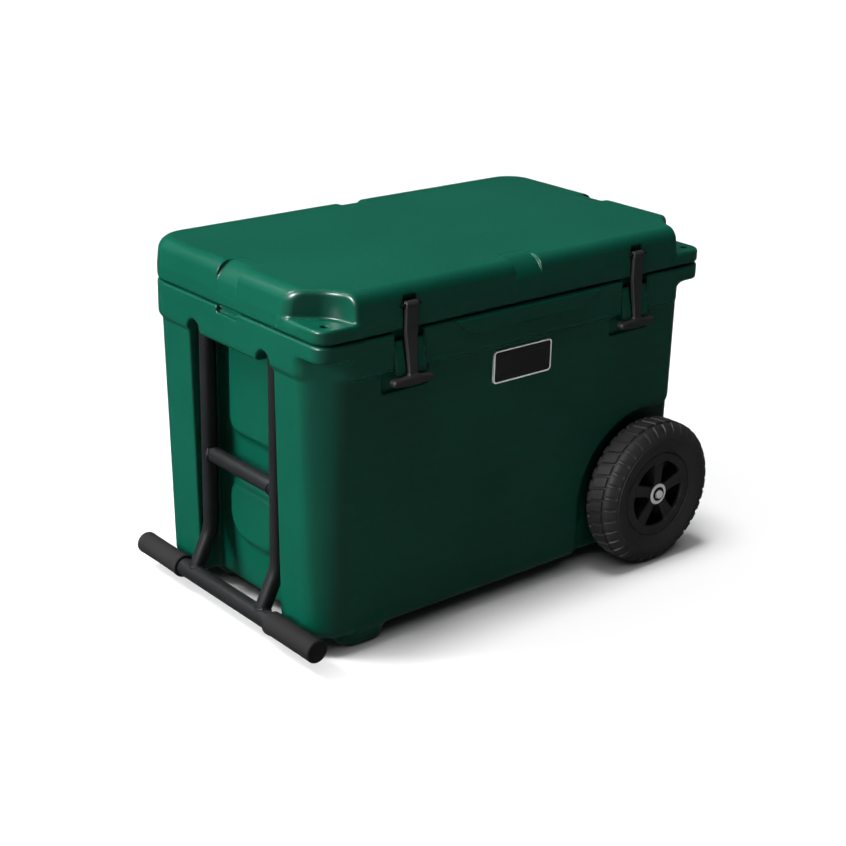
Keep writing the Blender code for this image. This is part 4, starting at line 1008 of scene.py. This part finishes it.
def handle():
    for side, name in SIDES:
        path = arm_path(side * ARM_Y)
        arm = rounded_bar(path, TUBE_RADIUS, 0.004)
        add_piece("arm_tube_" + name, arm, PAINT, "tow_handle", "black_paint", "handle_arm_" + name)
        place = (ARM_X, side * ARM_Y, MID_BAR_Z)
        weld("weld_mid_" + name, saddle(place, (0, -side, 0), (1, 0, 0), TUBE_RADIUS, TUBE_RADIUS), side)
        up = path[-3] - path[-1]
        up /= np.linalg.norm(up)
        joint = (CROSSBAR_X, side * ARM_Y, CROSSBAR_Z)
        weld("weld_cross_" + name, saddle(joint, up, (0, 1, 0), TUBE_RADIUS, CROSSBAR_RADIUS), 2 * side)
    bar_path = [(ARM_X, y, MID_BAR_Z) for y in np.linspace(-MID_BAR_HALF, MID_BAR_HALF, 6)]
    mid_bar = rounded_bar(bar_path, TUBE_RADIUS, 0.001)
    add_piece("mid_bar_tube", mid_bar, PAINT, "tow_handle", "black_paint", "handle_mid_bar")
    cross_path = [(CROSSBAR_X, y, CROSSBAR_Z) for y in np.linspace(-CROSSBAR_HALF, CROSSBAR_HALF, 8)]
    crossbar = rounded_bar(cross_path, CROSSBAR_RADIUS, 0.001)
    add_piece("crossbar_tube", crossbar, PAINT, "tow_handle", "black_paint", "handle_crossbar")
    grips()


def grips():
    """Closed rubber sleeves, a little waisted, with a lip at the open end."""
    start = min(abs(GRIP_LOW.y), abs(GRIP_HIGH.y))
    end = max(abs(GRIP_LOW.y), abs(GRIP_HIGH.y))
    outer = GRIP_RADIUS
    profile = [(CROSSBAR_RADIUS + 0.0003, start + 0.006), (CROSSBAR_RADIUS + 0.0003, start)]
    profile += [(outer - 0.0016, start), (outer - 0.0004, start + 0.0005), (outer, start + 0.0018)]
    profile += [(outer, start + 0.006), (outer - 0.0006, start + 0.008)]
    for share in np.linspace(0.1, 0.9, 9):
        profile.append((outer - 0.0006 - 0.0003 * math.sin(math.pi * share), start + (end - start) * share))
    for angle in np.linspace(0, 90, 7):
        turn = math.radians(angle)
        profile.append((outer - 0.0035 + 0.0031 * math.cos(turn), end - 0.0031 + 0.0031 * math.sin(turn)))
    profile += [(outer - 0.006, end), (outer - 0.0066, end - 0.0005), (0.0001, end - 0.0005)]
    for side, name in SIDES:
        mesh = turned(profile, (CROSSBAR_X, 0, CROSSBAR_Z), (0, side, 0), 64)
        add_piece("soft_grip_" + name, mesh, GRIP, "tow_handle", "grip_rubber", "handle_grip_" + name)


# -------- wheels
def tyre_profile():
    """(radius, along) points from the inner bead, over the tread, to the outer bead."""
    inner, outer = TYRE_INNER, TYRE_OUTER
    top = WHEEL_RADIUS
    bead = RIM_RADIUS + 0.0004
    side_out = [(bead, outer - 0.007), (bead + 0.001, outer - 0.0055), (bead + 0.003, outer - 0.0050)]
    side_out += [(0.0700, outer - 0.0030), (0.0760, outer - 0.0012), (0.0800, outer - 0.0006)]
    side_out += [(0.0815, outer - 0.0006), (0.0822, outer), (0.0880, outer), (0.0888, outer - 0.0008)]
    side_out += [(0.0925, outer - 0.0012), (0.0950, outer - 0.0022), (0.0985, outer - 0.0040)]
    side_out += [(0.1015, outer - 0.0058), (0.1040, outer - 0.0078), (0.1060, outer - 0.0104)]
    side_out += [(top - 0.0008, outer - 0.0128), (top, outer - 0.0152)]
    tread = [(top, y) for y in np.linspace(outer - 0.0165, inner + 0.0165, 36)]
    side_in = [(radius, inner + outer - along) for radius, along in side_out]
    return side_in + tread[::-1] + side_out[::-1]


def smooth_step(value, low, high):
    share = np.clip((value - low) / (high - low), 0, 1)
    return share * share * (3 - 2 * share)


def tread_radii(radius, along, angle):
    """Presses the tread pattern into the tyre: shoulder notches, cross grooves and two rings of grooves."""
    place = (along - TYRE_INNER) / (TYRE_OUTER - TYRE_INNER)
    turn = angle * LUGS / (2 * math.pi)

    def groove(offset, width, edge=0.03):
        away = np.abs(np.mod(turn + offset + 0.5, 1) - 0.5)
        return 1 - smooth_step(away, width / 2, width / 2 + edge)

    from_middle = np.abs(place - 0.5)
    shoulder = smooth_step(radius, 0.0925, 0.0965) * smooth_step(from_middle, 0.245, 0.255)
    middle = 1 - smooth_step(from_middle, 0.190, 0.200)
    slant = 0.9 * (place - 0.5)
    depth = GROOVE_DEPTH * np.maximum(groove(0.0, 0.22) * shoulder, groove(0.5 + slant, 0.16) * middle)
    rings = 1 - smooth_step(np.abs(from_middle - 0.220), 0.018, 0.030)
    depth = np.maximum(depth, RING_DEPTH * rings * smooth_step(radius, 0.104, 0.107))
    return radius - depth


def wheels():
    for side, name in SIDES:
        centre = (AXLE_X, 0, AXLE_Z)
        axis = (0, side, 0)
        body = "wheel_" + name
        tyre = turned(tyre_profile(), centre, axis, LUGS * 17, tread_radii, 32)
        add_piece("treaded_tyre_" + name, tyre, TYRE, body, "tyre_rubber", "tyre_" + name)
        low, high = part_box("wheel_centre_" + name)
        hub = moulding(wheel_centre_field(side), low, high, 0.0014, 120_000)
        add_piece("wheel_disc_" + name, hub, PLASTIC, body, "black_plastic", "wheel_centre_" + name)
        washer_face = RIM_FACE + 0.0003
        washer = [(0.0104, washer_face), (0.0104, washer_face + 0.0012), (0.0109, washer_face + 0.0016)]
        washer += [(0.0150, washer_face + 0.0016), (0.0156, washer_face + 0.0011), (0.0156, washer_face)]
        washer.append(washer[0])
        ring = turned(washer[::-1], centre, axis, 48)
        add_piece("push_nut_ring_" + name, ring, STEEL, "cooler_body", "steel")
        cap = [(0.0104, washer_face), (0.0104, washer_face + 0.0022), (0.0098, washer_face + 0.0028)]
        cap += [(0.0078, washer_face + 0.0028), (0.0069, washer_face + 0.0018), (0.0067, washer_face)]
        cap.append(cap[0])
        teeth = turned(cap[::-1], centre, axis, 48, push_nut_radii)
        add_piece("push_nut_teeth_" + name, teeth, PAINT, "cooler_body", "steel", "push_nut_" + name)
        end = washer_face + 0.0026
        dome = [(0.0062, end - 0.004), (0.0062, end + 0.0016), (0.0056, end + 0.0024)]
        dome.append((0.0001, end + 0.0028))
        tip = turned(dome, centre, axis, 40)
        add_piece("axle_tip_" + name, tip, STEEL, "cooler_body", "steel")


def push_nut_radii(radius, along, angle):
    """Small teeth round the push nut's bore."""
    near_bore = 1 - smooth_step(radius, 0.0069, 0.0080)
    return radius + 0.0007 * near_bore * (0.5 + 0.5 * np.cos(8 * angle))


# -------- drain
def drain_knob():
    """The drain plug: a fluted knob on a threaded shank."""
    start = DRAIN_PLUG_LOW.x
    face = DRAIN_PLUG_HIGH.x - 0.012
    profile = [(0.0001, start), (0.0098, start), (0.0105, start + 0.001)]
    for turn in range(7):
        along = start + 0.002 + 0.0021 * turn
        profile += [(0.0105, along), (0.0098, along + 0.0006)]
        profile += [(0.0098, along + 0.0011), (0.0105, along + 0.0017)]
    profile += [(0.0104, face), (0.0170, face), (0.0175, face + 0.0006), (0.0175, face + 0.0024)]
    profile += [(0.0160, face + 0.0034), (0.0155, face + 0.0105), (0.0145, face + 0.0120)]
    profile += [(0.0105, face + 0.0120), (0.0098, face + 0.0110), (0.0001, face + 0.0110)]

    def fluted(radius, along, angle):
        grip = smooth_step(along, face + 0.0030, face + 0.0040) * smooth_step(radius, 0.0135, 0.0145)
        return radius - 0.0009 * grip * (0.5 + 0.5 * np.cos(16 * angle))

    mesh = turned(profile, (0, 0, DRAIN_Z), (1, 0, 0), 128, fluted)
    add_piece("drain_knob", mesh, PLASTIC, "drain_screw", "black_plastic", "drain_plug")


# -------- stage
def floor():
    """A wide pale plane that takes the cooler's shadow."""
    points = [(x * FLOOR_REACH, y * FLOOR_REACH, 0) for x, y in ((-1, -1), (1, -1), (1, 1), (-1, 1))]
    obj = new_object("studio_floor", mesh_of(points, np.array([(0, 1, 2, 3)])))
    material, tree, shader = shader_material("pale_floor", 0.9, Specular_IOR_Level=0.0)
    noise = noise_node(tree, 0.7)
    ramp = colour_ramp(tree, noise.outputs["Fac"], [(0.2, (0.44, 0.44, 0.44)), (0.8, (0.46, 0.46, 0.46))])
    tree.links.new(ramp.outputs["Color"], shader.inputs["Base Color"])
    obj.data.materials.append(material)
    obj.visible_glossy = False
    obj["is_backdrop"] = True


def new_light(name, kind, towards, power):
    """A light whose rays come from the direction towards."""
    data = bpy.data.lights.new(name, kind)
    data.energy = power
    obj = new_object(name, data)
    obj.rotation_mode = "QUATERNION"
    obj.rotation_quaternion = Vector(towards).to_track_quat("Z", "Y")
    return obj


def sun(name, towards, strength, spread, receivers):
    """A soft distant light that falls on the receivers alone."""
    obj = new_light(name, "SUN", towards, strength)
    obj.data.angle = math.radians(spread)
    obj.light_linking.receiver_collection = receivers
    return obj


def softbox(name, place, size, power):
    """A rectangular light that faces the lid."""
    obj = new_light(name, "AREA", Vector(place) - Vector(SOFTBOX_TARGET), power)
    obj.location = place
    obj.data.shape = "RECTANGLE"
    obj.data.size, obj.data.size_y = size
    return obj


def lighting():
    """Suns for the cooler alone and for the floor alone, two softboxes, and a white surround."""
    cooler = bpy.data.collections.new("lit_cooler")
    ground = bpy.data.collections.new("lit_floor")
    without_handle = bpy.data.collections.new("shading_floor")
    for obj in bpy.context.scene.objects:
        if obj.type == "MESH":
            (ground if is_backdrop(obj) else cooler).objects.link(obj)
            if not obj.name.startswith(HANDLE_PIECES):
                without_handle.objects.link(obj)
    for name, towards, strength, spread in COOLER_SUNS:
        sun(name, towards, strength, spread, cooler).visible_glossy = False
    floor_light = sun("floor_light", (-0.15, 0.05, 0.98), 4.9, 16, ground)
    floor_light.light_linking.blocker_collection = without_handle
    sun("floor_fill", (-0.25, -0.05, 0.96), 2.4, 80, ground)
    softbox("edge_light", (-1.5, 0.9, 2.0), (0.7, 0.5), 30)
    softbox("sparkle", (-2.3, -0.35, 1.5), (0.35, 0.35), 120).visible_diffuse = False
    world = bpy.data.worlds.new("studio")
    world.use_nodes = True
    tree = world.node_tree
    dim = tree.nodes["Background"]
    dim.inputs["Color"].default_value = (0.9, 0.95, 1.0, 1)
    dim.inputs["Strength"].default_value = AMBIENT
    white = tree.nodes.new("ShaderNodeBackground")
    white.inputs["Color"].default_value = (1, 1, 1, 1)
    seen = tree.nodes.new("ShaderNodeLightPath")
    mix = tree.nodes.new("ShaderNodeMixShader")
    tree.links.new(seen.outputs["Is Camera Ray"], mix.inputs["Fac"])
    tree.links.new(dim.outputs["Background"], mix.inputs[1])
    tree.links.new(white.outputs["Background"], mix.inputs[2])
    tree.links.new(mix.outputs["Shader"], tree.nodes["World Output"].inputs["Surface"])
    bpy.context.scene.world = world
    bpy.context.scene.view_settings.view_transform = "Standard"


def camera():
    azimuth, elevation, roll = (math.radians(v) for v in (CAMERA_AZIMUTH, CAMERA_ELEVATION, CAMERA_ROLL))
    level = math.cos(elevation)
    back = Vector((-math.sin(azimuth) * level, -math.cos(azimuth) * level, math.sin(elevation)))
    right = (-back).cross(Vector((0, 0, 1))).normalized()
    up = right.cross(-back)
    turned_right = math.cos(roll) * right + math.sin(roll) * up
    turned_up = math.cos(roll) * up - math.sin(roll) * right
    data = bpy.data.cameras.new("camera")
    data.lens = CAMERA_LENS
    data.sensor_width = 36.0
    data.clip_end = 200.0
    obj = new_object("camera", data)
    axes = Matrix((turned_right, turned_up, back)).transposed()
    obj.matrix_world = Matrix.Translation(CAMERA_PLACE) @ axes.to_4x4()
    bpy.context.scene.camera = obj


camera()
floor()
finish_cad_nodes()
shells()
latches()
badge()
handle()
wheels()
drain_knob()
lighting()
